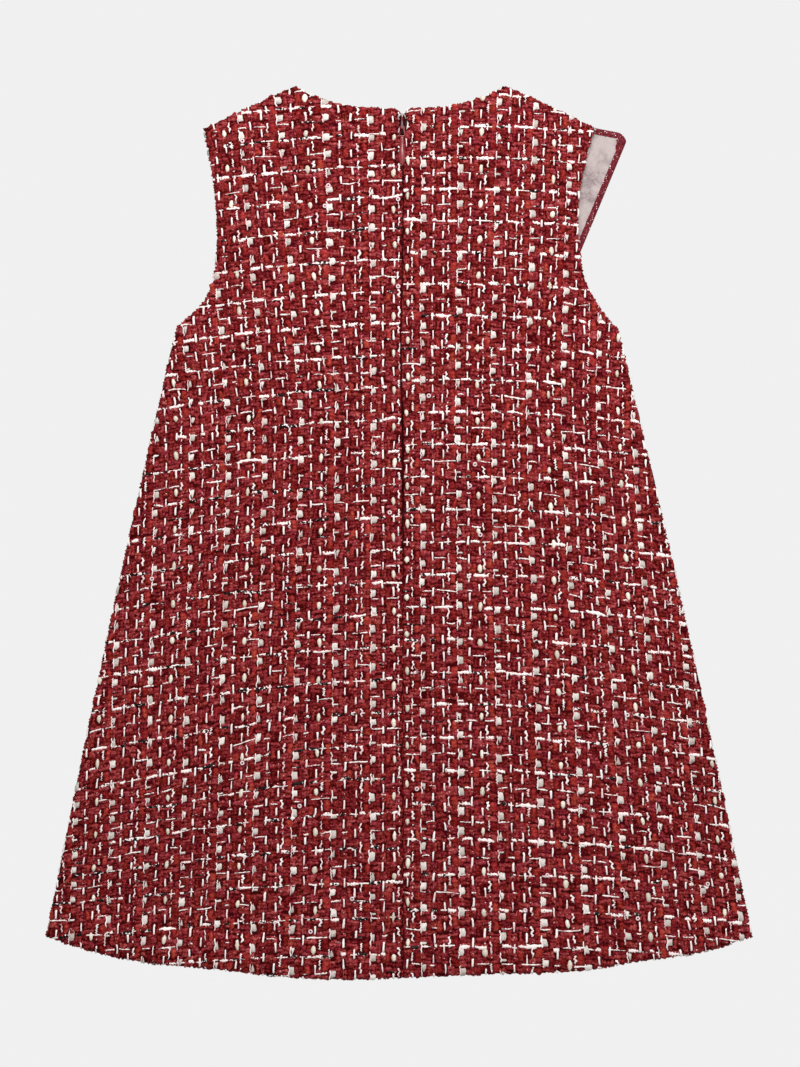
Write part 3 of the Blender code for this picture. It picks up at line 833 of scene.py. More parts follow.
arch = {
    "middleX": 0.035,
    "left": 0.37,
    "right": 0.43,
    "hemFlat": 0.5,
    "hemFlatY": -0.19,
    "hemFlatReach": 0.07,
    "wave": 0.007,
    "waveY": -0.15,
    "waveHigh": 0.035,
    "waveX": -0.05,
    "waveWide": 0.12,
}

lean = {
    "right": 0.075, "rightReach": 0.2, "rightFrom": 0.08,
    "left": -0.025, "leftReach": 0.1, "leftFrom": 0.05,
    "topLeft": 0.085, "topLeftFrom": 0.09,
    "topRight": 0.03, "topRightFrom": 0.12, "topReach": 0.09,
}

# height of each pick, counted downwards from y = 0, where a pick would lie if it were straight
pickHeights = np.linspace(0.40, -0.40, 1601)
pickSizes = (
    weave["topPick"]
    + weave["middlePick"] * smooth((0.25 - pickHeights) / 0.25)
    + weave["hemPick"] * smooth((-0.13 - pickHeights) / 0.10)
)
pickNumbers = np.concatenate([[0.0], np.cumsum(0.0005 / pickSizes[:-1])])
pickNumbers -= np.interp(0.0, -pickHeights, pickNumbers)


def pickY(number):
    return np.interp(number, pickNumbers, pickHeights)


def pickAt(y):
    return np.interp(-y, -pickHeights, pickNumbers)


def archDrop(x, y):
    steep = np.where(x < arch["middleX"], arch["left"], arch["right"])
    flat = 1.0 - arch["hemFlat"] * smooth((arch["hemFlatY"] - y) / arch["hemFlatReach"])
    wave = arch["wave"] * np.exp(-((y - arch["waveY"]) / arch["waveHigh"]) ** 2)
    wave = wave * smooth((arch["waveX"] - x) / arch["waveWide"])
    return steep * (x - arch["middleX"]) ** 2 * flat + wave


def leaning(side, u, y):
    right = lean["right"] * smooth(u / lean["rightReach"]) * np.maximum(lean["rightFrom"] - y, 0.0)
    left = lean["left"] * smooth(-u / lean["leftReach"]) * np.maximum(lean["leftFrom"] - y, 0.0)
    topLeft = -lean["topLeft"] * np.maximum(y - lean["topLeftFrom"], 0.0) * smooth(-u / lean["topReach"])
    topRight = lean["topRight"] * np.maximum(y - lean["topRightFrom"], 0.0) * smooth(u / lean["topReach"])
    return right + left + (topLeft if side < 0 else topRight)


def clothToFlat(cloth, u, pick):
    # where a point of the weave lies on the flat panel
    straightY = pickY(pick + cloth["firstPick"])
    if cloth["up"] < 0:
        return u, straightY - 0.5 * archDrop(u, straightY)
    x = u + leaning(cloth["side"], u, straightY)
    return x, straightY - archDrop(x, straightY)


def makeCloth(name, side, up, groundAt, edge, anchor, phase, slubParity, repeat):
    # anchor is a ribbon's place at a strong white pick, and phase the float's lag there
    cloth = {
        "name": name, "side": side, "up": up, "ground": groundAt, "edge": edge,
        "phase": phase, "slubParity": slubParity, "repeat": repeat,
    }
    anchorX, anchorY = anchor
    cloth["anchorU"] = anchorX
    cloth["firstPick"] = float(pickAt(anchorY + archDrop(anchorX, anchorY)))
    return cloth


cloths = {
    "backLeft": makeCloth("back_left", -1, 1, backGround, backEdge, (-0.01155, 0.0340), 2.0, 0, 0.0253),
    "backRight": makeCloth("back_right", 1, 1, backGround, backEdge, (0.0226, 0.0622), -0.1, 1, 0.0245),
    "front": makeCloth("front", 0, -1, frontGround, frontEdge, (0.0100, 0.0300), 0.0, 0, 0.0250),
}


def scatter(cloth, kind, centres, size, tilt=0.0, rough=0.0, across=False, wedge=0.0, bow=0.0):
    # copies of a yarn's template in cloth places. size is width, length and height of each
    template = cloth["templates"][kind]
    count = len(centres)
    shape = np.repeat(template["points"][None], count, axis=0)
    if "shapes" in template:
        shape = template["shapes"][random.integers(len(template["shapes"]), size=count)]
    width, length, height, tilt, wedge, bow = (
        np.broadcast_to(value, count)[:, None] for value in (*size, tilt, wedge, bow)
    )
    along = shape[..., 1]
    narrow = 1.0 - np.abs(wedge) * np.clip(0.5 - np.sign(wedge) * along, 0.0, 1.0)
    side = shape[..., 0] * width * narrow + bow * (along ** 2 - 0.25)
    run, up = along * length, shape[..., 2] * height
    if rough:
        side = side + random.normal(0.0, rough, side.shape)
        run = run + random.normal(0.0, rough, run.shape)
        up = up + random.normal(0.0, rough * 0.7, up.shape)
    if across:  # a weft strand lies across the warp
        u = centres[:, :1] + run
        pick = centres[:, 1:2] + (side + tilt * run) / meanPick
    else:
        u = centres[:, :1] + side + tilt * run
        pick = centres[:, 1:2] - run / meanPick
    x, y = clothToFlat(cloth, u.ravel(), pick.ravel())
    return layDown(cloth, x, y, up.ravel() * cloth["scale"]).reshape(*shape.shape)


trim = {
    "pastCentre": 0.012,    # a back's yarns past the slit by more than this are left out at once
    "pastEdge": 0.008,
    "leastKept": 0.28,
}


def trimmed(cloth, u, pick, length, across):
    # yarns cut to what the cloth has left at its turned edge, and which of them are kept
    x, y = clothToFlat(cloth, u, pick)
    low, high = cloth["edge"]["low"], cloth["edge"]["high"]
    inBox = (x > low[0]) & (x < high[0]) & (y > low[1]) & (y < high[1])
    if cloth["side"]:
        inBox &= cloth["side"] * (x - cut["centreBackX"]) > -trim["pastCentre"]
    left = np.full(len(u), -1.0)
    left[inBox] = unrolled(cloth, x[inBox], y[inBox])
    crossing = np.flatnonzero((left > -trim["pastEdge"]) & (left < deepMap["deep"]))
    lost = np.zeros((2, len(u)))
    for row, sign in enumerate((-1, 1)):
        reach = sign * length[crossing] / 2
        endU = u[crossing] + (reach if across else 0.0)
        endPick = pick[crossing] - (0.0 if across else reach / meanPick)
        endX, endY = clothToFlat(cloth, endU, endPick)
        lost[row, crossing] = np.maximum(-unrolled(cloth, endX, endY), 0.0)
    kept = length - lost.sum(0)
    shift = (lost[0] - lost[1]) / 2
    keep = (left > -trim["pastEdge"]) & (kept > trim["leastKept"] * length) & (left + kept > 0.0)
    u = u + (shift if across else 0.0)
    pick = pick - (0.0 if across else shift / meanPick)
    return u[keep], pick[keep], kept[keep], keep


def uniform(low, high, count):
    return random.uniform(low, high, count)


def normal(spread, count):
    return random.normal(0.0, spread, count)


def middleOf(runs):
    return (runs[:, 1] + runs[:, 2]) / 2


def lengthOf(runs):
    return runs[:, 2] - runs[:, 1]


def runCentres(runs, beside, apart):
    # the middle of each stretch, moved a little along its pick and off it
    count = len(runs)
    middle = middleOf(runs) + (normal(beside, count) if beside else 0.0)
    return np.column_stack([middle, runs[:, 0] + normal(apart, count)])


def halvesAcross(cloth):
    first = math.floor((weave["fromX"] - cloth["anchorU"]) / cloth["repeat"])
    return np.arange(first, first + math.ceil(weave["wide"] / cloth["repeat"]))


def warpFloats(cloth, kind):
    # where every float of one warp end lies, and which half repeat and row it is in
    place, phase, covers, width = warpEnds[kind]
    rows = np.arange(-weave["floatReach"], weave["floatReach"])
    half, row = (grid.ravel() for grid in np.meshgrid(halvesAcross(cloth), rows, indexing="ij"))
    u = cloth["anchorU"] + (half + place) * cloth["repeat"]
    pick = cloth["phase"] + phase + weave["drift"] * (half + place) + row * weave["floatPicks"]
    length = covers * meanPick * uniform(0.86, 1.16, len(u))
    u, pick, length, keep = trimmed(cloth, u, pick, length, False)
    count = len(u)
    centres = np.column_stack([u + normal(0.00028, count), pick + normal(0.16, count)])
    return {"half": half[keep], "row": row[keep], "centres": centres, "length": length, "width": width}


def weftRuns(cloth, numbers, isOver=True):
    # the stretches of each pick that lie over the warp, or under it, from float to float
    ends = sorted((half + end[0], end[1]) for half in halvesAcross(cloth) for end in warpEnds.values())
    shares = np.array([share for share, phase in ends])
    phases = cloth["phase"] + np.array([phase for share, phase in ends]) + weave["drift"] * shares
    u = cloth["anchorU"] + shares * cloth["repeat"]
    half = weave["floatPicks"] / 2
    runs = []
    for number in numbers:
        lag = (number - phases + half) % weave["floatPicks"] - half
        found = np.flatnonzero((np.abs(lag) >= half / 2) == isOver)
        for group in np.split(found, np.flatnonzero(np.diff(found) > 1) + 1):
            if len(group) and group[0] > 0 and group[-1] < len(u) - 1:
                left = (u[group[0] - 1] + u[group[0]]) / 2
                right = (u[group[-1]] + u[group[-1] + 1]) / 2
                runs.append((number, left, right))
    runs = np.array(runs)
    middle, number, length, _ = trimmed(cloth, middleOf(runs), runs[:, 0], lengthOf(runs), True)
    return np.column_stack([number, middle - length / 2, middle + length / 2])


def addYarns(cloth, name, kind, parts, material):
    # parts are points and tints of copies of one template, as laid gives them
    points = np.vstack([part[0] for part in parts])
    tints = np.concatenate([np.broadcast_to(part[1], len(part[0])) for part in parts])
    template = cloth["templates"][kind]
    obj = joinedMesh(cloth["name"] + "_" + name, template, points, tints, materials[material])
    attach(obj, "dress")
    cloth["yarns"].append(obj)


# How each yarn varies: its width, the stretch of its length, height, tilt, wedge, bow and tint.
rough = 0.00024
yarns = {
    "redWeft": {"width": (0.0020, 0.0027), "height": (0.0010, 0.0015), "tilt": 0.14, "rough": rough,
                "bow": 0.0012, "tint": (0.39, 0.81)},
    # the under weft takes darker tints of the red weft's colour, as painted shade where it lies deep
    # between the floats
    "underWeft": {"width": (0.0020, 0.0027), "height": (0.0003, 0.0006), "tilt": 0.05, "rough": 0.00012,
                  "tint": (-0.10, 0.35)},
    "redWarp": {"width": (0.8, 1.15), "height": 0.00125, "tilt": 0.08, "rough": rough,
                "tint": (0.31, 0.72)},
    "puff": {"width": (0.75, 1.2), "height": (0.0014, 0.0019), "tilt": 0.15, "rough": 1.4 * rough,
             "tint": (0.27, 0.76)},
    "ribbon": {"width": (0.00100, 0.00158), "height": 0.0015, "tilt": 0.05, "rough": 0.00007,
               "wedge": (-0.5, 0.6), "bow": 0.0006, "tint": (0.15, 0.95)},
    "ribbonDot": {"width": (0.0006, 0.0012), "stretch": (0.0005, 0.0012), "height": 0.0015,
                  "rough": 0.0001, "tint": (-0.1, 0.4)},
    "slub": {"width": (0.0026, 0.0036), "stretch": (0.85, 1.1), "height": 0.0016, "tilt": 0.05,
             "rough": 0.00010, "wedge": (0.0, 0.5), "tint": (0.3, 0.95)},
    "besideTape": {"width": (0.0006, 0.0009), "stretch": (0.7, 1.1), "height": 0.0015, "tilt": 0.05,
                   "rough": 0.00006, "tint": (0.0, 0.9)},
    "curl": {"width": (0.0006, 0.0013), "stretch": (0.8, 1.15), "height": 0.0015, "tilt": 0.06,
             "rough": 0.00020, "tint": (0.0, 0.9)},
    "curlDot": {"width": (0.0006, 0.0013), "stretch": (0.0008, 0.0018), "height": 0.0015,
                "rough": 0.00015, "tint": (-0.2, 0.3)},
    "strong": {"width": (0.0015, 0.0024), "height": 0.00165, "tilt": 0.07, "rough": 0.00014,
               "bow": 0.0014},
    "weak": {"width": (0.0006, 0.0011), "height": 0.00165, "tilt": 0.07, "rough": 0.00014,
             "bow": 0.0014},
    "between": {"width": (0.0006, 0.0011), "height": 0.0009, "tilt": 0.05, "rough": 0.00012,
                "tint": (0.0, 0.40)},
}

shown = {
    "puffOnRed": 0.5,        # the share of red floats with a puff on them, and how wide it is there
    "puffOnRedWide": 0.8,
    "ribbonDots": 0.6,
    "curlDots": 0.8,
    "strong": 0.95,
    "between": 0.7,
    "weak": 0.74,
    "glinting": 0.80,        # the share of strong white dashes with dark glints, left and low on the dress
    "rareGlint": 0.30,
    "weakGlint": 0.3,
    "glintX": 0.02,
    "glintY": 0.10,
    "glintTint": (0.36, 0.52),
    "dullTint": (0.0, 0.30),
}

# a square tape, where it is folded to a corner or a bar, and the thin thread at its left
squareTape = {
    "width": 0.0039,
    "narrow": (0.78, 1.0),
    "length": 0.0060,
    "stretch": (0.8, 1.12),
    "height": 0.0014,
    "barOver": 0.86,
    "barLong": 0.3,
    "cornerOver": 0.58,
    "cornerWide": 0.85,
    "cornerWedge": 0.9,
    "wedge": 0.08,
    "tilt": 0.09,
    "rough": 0.00012,
    "tint": (0.1, 0.9),
    "threadPicks": (-0.2, 0.5),
    "threadLength": 0.0096,
}


def laid(cloth, kind, name, centres, length, across=False, thick=1.0):
    # copies of a template, varied as the yarn of that name, and their tints
    look, count = yarns[name], len(centres)
    width = thick * uniform(*look["width"], count)
    if "stretch" in look:
        length = length * uniform(*look["stretch"], count)
    height = look["height"]
    if isinstance(height, tuple):
        height = uniform(*height, count)
    tilt = normal(look["tilt"], count) if "tilt" in look else 0.0
    wedge = uniform(*look["wedge"], count) if "wedge" in look else 0.0
    bow = normal(look["bow"], count) if "bow" in look else 0.0
    points = scatter(cloth, kind, centres, (width, length, height), tilt, look["rough"], across, wedge, bow)
    return points, uniform(*look["tint"], count) if "tint" in look else None


def weaveRed(cloth):
    # each stretch shows as two lumpy strands, or as one on the front
    picks = np.arange(-weave["pickReach"], weave["pickReach"])
    runs = weftRuns(cloth, picks)
    if cloth["up"] > 0:
        split = runs[:, 1] + lengthOf(runs) * uniform(0.36, 0.64, len(runs))
        runs = np.vstack([
            np.column_stack([runs[:, 0], runs[:, 1], split]),
            np.column_stack([runs[:, 0], split, runs[:, 2]]),
        ])
    length = lengthOf(runs) + weave["weftOverlap"]
    part = laid(cloth, "strand", "redWeft", runCentres(runs, 0.0003, 0.19), length, True)
    addYarns(cloth, "red_weft", "strand", [part], "redWeft")
    if cloth["up"] > 0:
        # strands under the warp, low down, whose darker tints are painted shade in the depth
        runs = weftRuns(cloth, picks, False)
        part = laid(cloth, "plain", "underWeft", runCentres(runs, 0.0, 0.10), lengthOf(runs), True)
        addYarns(cloth, "under_weft", "plain", [part], "redWeft")

    parts = []
    for end in ("redA", "redB"):
        warp = warpFloats(cloth, end)
        parts.append(laid(cloth, "cord", "redWarp", warp["centres"], warp["length"], thick=warp["width"]))
    addYarns(cloth, "red_warp", "cord", parts, "redWarp")

    parts = []
    for end, share, wide in (("puff", 1.0, 1.0), ("redA", shown["puffOnRed"], shown["puffOnRedWide"])):
        warp = warpFloats(cloth, end)
        keep = random.random(len(warp["centres"])) < share
        thick = warpEnds["puff"][3] * wide
        parts.append(laid(cloth, "puff", "puff", warp["centres"][keep], warp["length"][keep], thick=thick))
    addYarns(cloth, "puffs", "puff", parts, "orangePuff")


def dotsBetween(cloth, name, centres, share, beside):
    # where a thread lies under the weft, some of it still shows as a dot
    gaps = centres[random.random(len(centres)) < share] + np.array([beside, weave["floatPicks"] / 2])
    return laid(cloth, "dot", name, gaps, 1.0)


def weaveTapes(cloth):
    # the tapes, and the points and tints of the threads beside them
    look = squareTape
    warp = warpFloats(cloth, "tape")
    count = len(warp["centres"])
    fold = random.random(count)
    isBar = fold > look["barOver"]
    isCorner = (fold > look["cornerOver"]) & ~isBar
    width = look["width"] * uniform(*look["narrow"], count) * np.where(isCorner, look["cornerWide"], 1.0)
    length = look["length"] * uniform(*look["stretch"], count) * np.where(isBar, look["barLong"], 1.0)
    most = look["cornerWedge"]
    wedge = np.where(isCorner, random.choice([-most, most], count), normal(look["wedge"], count))
    drop = np.where(isBar, random.choice([-1, 1], count), 0)
    centres = warp["centres"] - np.column_stack([np.zeros(count), drop])
    size = (width, length, look["height"])
    points = scatter(cloth, "tape", centres, size, normal(look["tilt"], count), look["rough"], wedge=wedge)
    addYarns(cloth, "tapes", "tape", [(points, uniform(*look["tint"], count))], "ivoryTape")
    threads = warp["centres"] + np.column_stack([-width / 2, uniform(*look["threadPicks"], count)])
    return laid(cloth, "curl", "besideTape", threads, look["threadLength"])


def weaveWhiteWarp(cloth):
    ribbons, slubs, dots = [], [], []
    for end in ("ribbon", "accent"):
        warp = warpFloats(cloth, end)
        isSlub = (warp["half"] % 2 == cloth["slubParity"]) & (warp["row"] % 2 == 0) & (end == "accent")
        thin = warp["centres"][~isSlub]
        ribbons.append(laid(cloth, "ribbon", "ribbon", thin, warp["length"][~isSlub]))
        dots.append(dotsBetween(cloth, "ribbonDot", thin, shown["ribbonDots"], 0.0))
        slubs.append(laid(cloth, "slub", "slub", warp["centres"][isSlub], warp["length"][isSlub]))
    addYarns(cloth, "ribbons", "ribbon", ribbons, "whiteRibbon")
    addYarns(cloth, "slubs", "slub", slubs, "creamSlub")
    curls = [weaveTapes(cloth)]
    warp = warpFloats(cloth, "curl")
    curls.append(laid(cloth, "curl", "curl", warp["centres"], warp["length"]))
    dots.append(dotsBetween(cloth, "curlDot", warp["centres"], shown["curlDots"], 0.0002))
    addYarns(cloth, "curls", "curl", curls, "whiteRibbon")
    if cloth["up"] > 0:
        addYarns(cloth, "dots", "dot", dots, "whiteRibbon")


def weaveWhiteWeft(cloth):
    parts = []
    numbers = np.arange(-weave["accentReach"], weave["accentReach"]) * weave["accentEvery"]
    for name, picks, glint in (("strong", numbers[::2], 1.0), ("weak", numbers[1::2], shown["weakGlint"])):
        runs = weftRuns(cloth, picks)
        runs = runs[random.random(len(runs)) < shown[name]]
        count = len(runs)
        centres = runCentres(runs, 0.0006, 0.14)
        length = (lengthOf(runs) + 0.0010) * uniform(0.7, 1.12, count)
        points, _ = laid(cloth, "crumple", name, centres, length, True)
        x, y = clothToFlat(cloth, centres[:, 0], centres[:, 1])
        isGlinting = (x < shown["glintX"]) & (y < shown["glintY"])
        share = np.where(isGlinting, shown["glinting"], shown["rareGlint"])
        glints = random.random(count) < share * glint
        # the glinting copies get tints that bring out the painted reflection of the dark in their colour
        reflectingTints, dull = uniform(*shown["glintTint"], count), uniform(*shown["dullTint"], count)
        parts.append((points, np.where(glints, reflectingTints, dull)))
        if name == "strong":
            runs = weftRuns(cloth, picks, False)
            runs = runs[random.random(len(runs)) < shown["between"]]
            centres = runCentres(runs, 0.0, 0.12)
            parts.append(laid(cloth, "crumple", "between", centres, lengthOf(runs), True))
    addYarns(cloth, "white_weft", "crumple", parts, "crumpledTape")


def weaveCloth(cloth):
    cloth["yarns"] = []
    weaveRed(cloth)
    weaveWhiteWarp(cloth)
    weaveWhiteWeft(cloth)
    triangles = sum(len(obj.data.polygons) for obj in cloth["yarns"]) * 2
    print("wove", cloth["name"], triangles, "triangles")


for cloth in cloths.values():
    cloth["scale"] = 1.0 if cloth["up"] > 0 else 0.5
    cloth["templates"] = fineTemplates if cloth["up"] > 0 else coarseTemplates
    weaveCloth(cloth)


# the ground cloth of each panel

def topPoint(share, side, isFront):
    neckShare = sheetCut["neckShare"]
    neck = neckAt(np.clip(share / neckShare, 0.0, 1.0), side, isFront)
    shoulder = shoulderAt(np.clip((share - neckShare) / (1.0 - neckShare), 0.0, 1.0), side)
    return np.where(share <= neckShare, neck, shoulder)


def panelPoint(across, up, side, isFront):
    # a point of half a panel, as in the solids
    skirtShare = sheetCut["skirtShare"]
    tipY = cut["shoulderTip"][1]
    skirtY = cut["hemCornerY"] + (cut["underarmY"] - cut["hemCornerY"]) * up / skirtShare
    holeY = cut["underarmY"] + (tipY - cut["underarmY"]) * (up - skirtShare) / (1.0 - skirtShare)
    edgeY = np.where(up <= skirtShare, skirtY, holeY)
    edge = np.array([side * holeHalf(edgeY, side, isFront), edgeY])
    share = (edgeY - cut["hemCornerY"]) / (tipY - cut["hemCornerY"])
    neck = np.array(topPoint(np.zeros(1), side, isFront))
    low0 = np.array([[0.0], [float(hemY(0.0))]])
    centre = low0 + (neck - low0) * share
    cornerX = side * cut["sides"][0][1 if side < 0 else 2]
    low, top = np.array([cornerX * across, hemY(cornerX * across)]), topPoint(across, side, isFront)
    lowCorner = np.array([[cornerX], [cut["hemCornerY"]]])
    tip = np.array([[side * float(sideHalf(side, tipY))], [tipY]])
    rounded = low + (top - low) * share + centre + (edge - centre) * across
    lowLine = low0 + (lowCorner - low0) * across
    topLine = neck + (tip - neck) * across
    return rounded - (lowLine + (topLine - lowLine) * share)


sheetCut = {
    "columns": 36,
    "rows": 84,
    "neckShare": 9 / 17,     # how much of a panel's top is neckline
    "skirtShare": 22 / 38,   # how much of its side is below the armhole
    "spare": 0.0040,     # cloth past the outline, which turns under
    "spareShare": 0.06,
    "offSlit": 0.0012,
}


def asSheet(name, bm, points, up, material, thick):
    # a grid laid through points, as cloth whose outer face looks up or down
    for vert, point in zip(bm.verts, points):
        vert.co = point
    faceUp(bm, up)
    obj = asObject(name, bm, material)
    wall = obj.modifiers.new("cloth", "SOLIDIFY")
    wall.thickness = thick
    wall.offset = -1.0
    return obj


def groundSheet(cloth, name, node, isFront):
    sides = (cloth["side"],) if cloth["side"] else (-1, 1)
    columns = sheetCut["columns"] * len(sides)
    bm = bmesh.new()
    bmesh.ops.create_grid(bm, x_segments=columns, y_segments=sheetCut["rows"], size=1.0)
    place = np.array([vert.co[:2] for vert in bm.verts])
    # finer towards the edges, where the cloth turns
    place = np.sin(place * math.pi / 2)
    up = (place[:, 1] + 1.0) / 2
    if cloth["side"]:
        side = np.full(len(up), cloth["side"])
        across = (place[:, 0] + 1.0) / 2
    else:
        side = np.where(place[:, 0] < 0, -1, 1)
        across = np.abs(place[:, 0])
    x, y = np.zeros(len(up)), np.zeros(len(up))
    for one in sides:
        part = side == one
        x[part], y[part] = panelPoint(across[part], up[part], one, isFront)
    spare, share = sheetCut["spare"], sheetCut["spareShare"]
    x += side * spare * smooth((across - 1.0 + share) / share)
    y += spare * (smooth((up - 1.0 + share) / share) - smooth((share - up) / share))
    if cloth["side"]:
        x += (cut["centreBackX"] - cloth["side"] * sheetCut["offSlit"]) * (1.0 - across) ** 2
    points = layDown(cloth, x, y, np.zeros(len(x)))
    obj = asSheet(name, bm, points, cloth["up"], materials["ground"], ground["thick"])
    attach(obj, "dress")
    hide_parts(node)
    return obj


sheets = {
    "backLeft": groundSheet(cloths["backLeft"], "back_left_cloth", "back_left_panel", False),
    "backRight": groundSheet(cloths["backRight"], "back_right_cloth", "back_right_panel", False),
    "front": groundSheet(cloths["front"], "front_cloth", "front_panel", True),
}
print("ground cloth made")

def addThread(bm, points, radius, sides=6):
    # a round thread along points, closed at both ends
    points = [Vector(point) for point in points]
    rings = []
    for index, point in enumerate(points):
        ahead = points[min(index + 1, len(points) - 1)] - points[max(index - 1, 0)]
        ahead.normalize()
        aside = ahead.cross((0.0, 0.0, 1.0) if abs(ahead.z) < 0.95 else (1.0, 0.0, 0.0)).normalized()
        turn = Matrix((aside, ahead.cross(aside), ahead)).transposed().to_4x4()
        ring = bmesh.ops.create_circle(bm, segments=sides, radius=radius,
                                       matrix=Matrix.Translation(point) @ turn)["verts"]
        rings.append(ring)
    for low, high in zip(rings, rings[1:]):
        for side in range(sides):
            beside = (side + 1) % sides
            bm.faces.new((low[side], low[beside], high[beside], high[side]))
    bm.faces.new(rings[0][::-1])
    bm.faces.new(rings[-1])


def thinSheet(name, columns, rows, place, top, thick, material, body, node):
    # cloth over a grid. place(across, up) gives x and y, top(x, y) its upper face
    bm = bmesh.new()
    bmesh.ops.create_grid(bm, x_segments=columns, y_segments=rows, size=1.0)
    across = np.array([(vert.co.x + 1.0) / 2 for vert in bm.verts])
    up = np.array([(vert.co.y + 1.0) / 2 for vert in bm.verts])
    x, y = place(across, up)
    obj = asSheet(name, bm, np.column_stack([x, y, top(x, y)]), 1, material, thick)
    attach(obj, body)
    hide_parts(node)
    return obj


# the flounce, which shows its pale inside beyond the armhole

flounceLook = {
    "faceLow": 0.0009,
    "faceThick": 0.0007,
    "liningTop": 0.0027,
    "liningThick": 0.0006,
    "inset": 0.0003,
    "cornerPress": (-0.0013, -0.0009),
    "cornerReach": 0.0028,
    "felt": ((0.32, (139, 124, 123)), (0.46, (169, 155, 154)), (0.62, (184, 171, 169))),
    "samples": 60,
    "drawnIn": 0.004,        # the cloth's share of the outline that is left free, and what it fills
    "filled": 0.990,
}

# the overlocked edge
overlockLook = {
    "wide": 0.0043,
    "wideAtCorner": 0.0058,
    "over": 0.0005,          # how far the band stands past the flounce's cut edge
    "before": 0.005,         # it grows wide over this stretch before the corner, and stays so past it
    "past": 0.0110,
    "fade": 0.0015,
    "pitch": 0.0013,
    "samples": 200,
    "low": 0.00012,
    "high": 0.0032,
    "bevel": 0.0002,
    "stitchWidth": 0.0013,
    "stitchReach": (0.9, 1.08),
    "stitchHigh": 0.0005,
    "slant": 0.12,
    "rough": 0.00010,
    "specks": 130,
    "speckSize": (0.0003, 0.0009),
    "speckDepth": (0.1, 0.95),
    "speckHigh": 0.0004,
    "speckTint": (-0.2, 0.6),
    "thread": (
        (0.25, (58, 9, 16)), (0.50, (101, 26, 35)), (0.72, (144, 56, 66)), (0.85, (186, 112, 120)),
    ),
}


def flouncePoint(across, up):
    # across from the seam to the free edge, up from the tail to the top
    seamTop, corner, cornerLow, middle, tail = (
        np.array(flounceCut[key])[:, None]
        for key in ("seamTop", "corner", "cornerLow", "edgeMiddle", "tail")
    )
    tip = np.array(cut["shoulderTip"])[:, None]
    tipShare, middleShare = flounceCut["tipShare"], flounceCut["middleShare"]
    top = np.where(
        across <= tipShare,
        seamTop + (tip - seamTop) * across / tipShare,
        tip + (corner - tip) * (across - tipShare) / (1.0 - tipShare),
    )
    cornerShare = 1.0 - 1.0 / flounceCut["rows"]
    upper = cornerLow + (corner - cornerLow) * (up - cornerShare) / (1.0 - cornerShare)
    between = middle + (cornerLow - middle) * (up - middleShare) / (cornerShare - middleShare)
    lower = tail + (middle - tail) * up / middleShare
    free = np.where(up >= cornerShare, upper, np.where(up >= middleShare, between, lower))
    seamLow = tail - np.array([[flounceCut["tailWidth"]], [0.0]])
    seam = seamLow + (seamTop - seamLow) * up
    straight = seam + (free - seam) * across
    straightTop = seamTop + (corner - seamTop) * across
    return straight + (top - straightTop) * up ** 3


def roundedPoint(across, up):
    # the same with the folded corner rounded off
    points = flouncePoint(across, up)
    away = np.linalg.norm(points - np.array(flounceCut["corner"])[:, None], axis=0)
    near = np.exp(-(away / flounceLook["cornerReach"]) ** 2)
    return points + np.array(flounceLook["cornerPress"])[:, None] * near


def flounceOutline():
    # anticlockwise from the tail
    count = flounceLook["samples"]
    part = np.linspace(0.0, 1.0, count)
    free = roundedPoint(np.ones(count), part).T
    top = roundedPoint(1.0 - part, np.ones(count)).T[1:]
    seam = roundedPoint(np.zeros(count), 1.0 - part).T[1:]
    points = np.vstack([free, top, seam])
    return points, ["flounce"] * len(points)


def feltMaterial():
    material, tree, shader = newMaterial("interlining_felt", 0.95, 0.1)
    place = placeIn(tree)
    soft = addNoise(tree, place, 95.0)
    fine = addNoise(tree, place, 900.0)
    mixed = addMath(tree, "MULTIPLY_ADD", fine, 0.45)
    tree.links.new(soft, mixed.node.inputs[2])
    mixed = addMath(tree, "SUBTRACT", mixed, 0.22)
    tree.links.new(addRamp(tree, mixed, flounceLook["felt"]), shader.inputs["Base Color"])
    addBump(tree, shader, fine, 0.6, 0.0003)
    return material


def threadMaterial(name, stops, scale, roughness):
    return noisyMaterial(name, stops, (scale, 3.0), roughness, 0.15, (0.5, 0.0002))


materials["felt"] = feltMaterial()
materials["overlock"] = threadMaterial("overlock_thread", overlockLook["thread"], 700.0, 0.8)


def makeFlounce():
    def place(across, up):
        # drawn in a little from the outline, so that the stitched edge goes round it
        first, filled = flounceLook["drawnIn"], flounceLook["filled"]
        points = roundedPoint(first + filled * across, first + filled * up)
        return points - np.array([[flounceLook["inset"]], [0.0]])

    faceTop = flounceLook["faceLow"] + flounceLook["faceThick"]
    face = thinSheet("flounce_cloth", 12, 28, place, lambda x, y: np.full(len(x), faceTop),
                     flounceLook["faceThick"], materials["ground"], "dress", "flounce_face")
    lining = thinSheet("flounce_interlining", 12, 28, place,
                       lambda x, y: np.full(len(x), flounceLook["liningTop"]),
                       flounceLook["liningThick"], materials["felt"], "dress", "flounce_lining")
    outline, kinds = flounceOutline()
    edge = asEdge(outline, kinds)
    addDeepMap(edge)
    cloth = makeCloth("flounce", 0, -1, flounceGround, edge, (0.12, 0.20), 0.0, 0, 0.0250)
    cloth["scale"] = 0.5
    cloth["templates"] = coarseTemplates
    weaveCloth(cloth)
    return face, lining, cloth


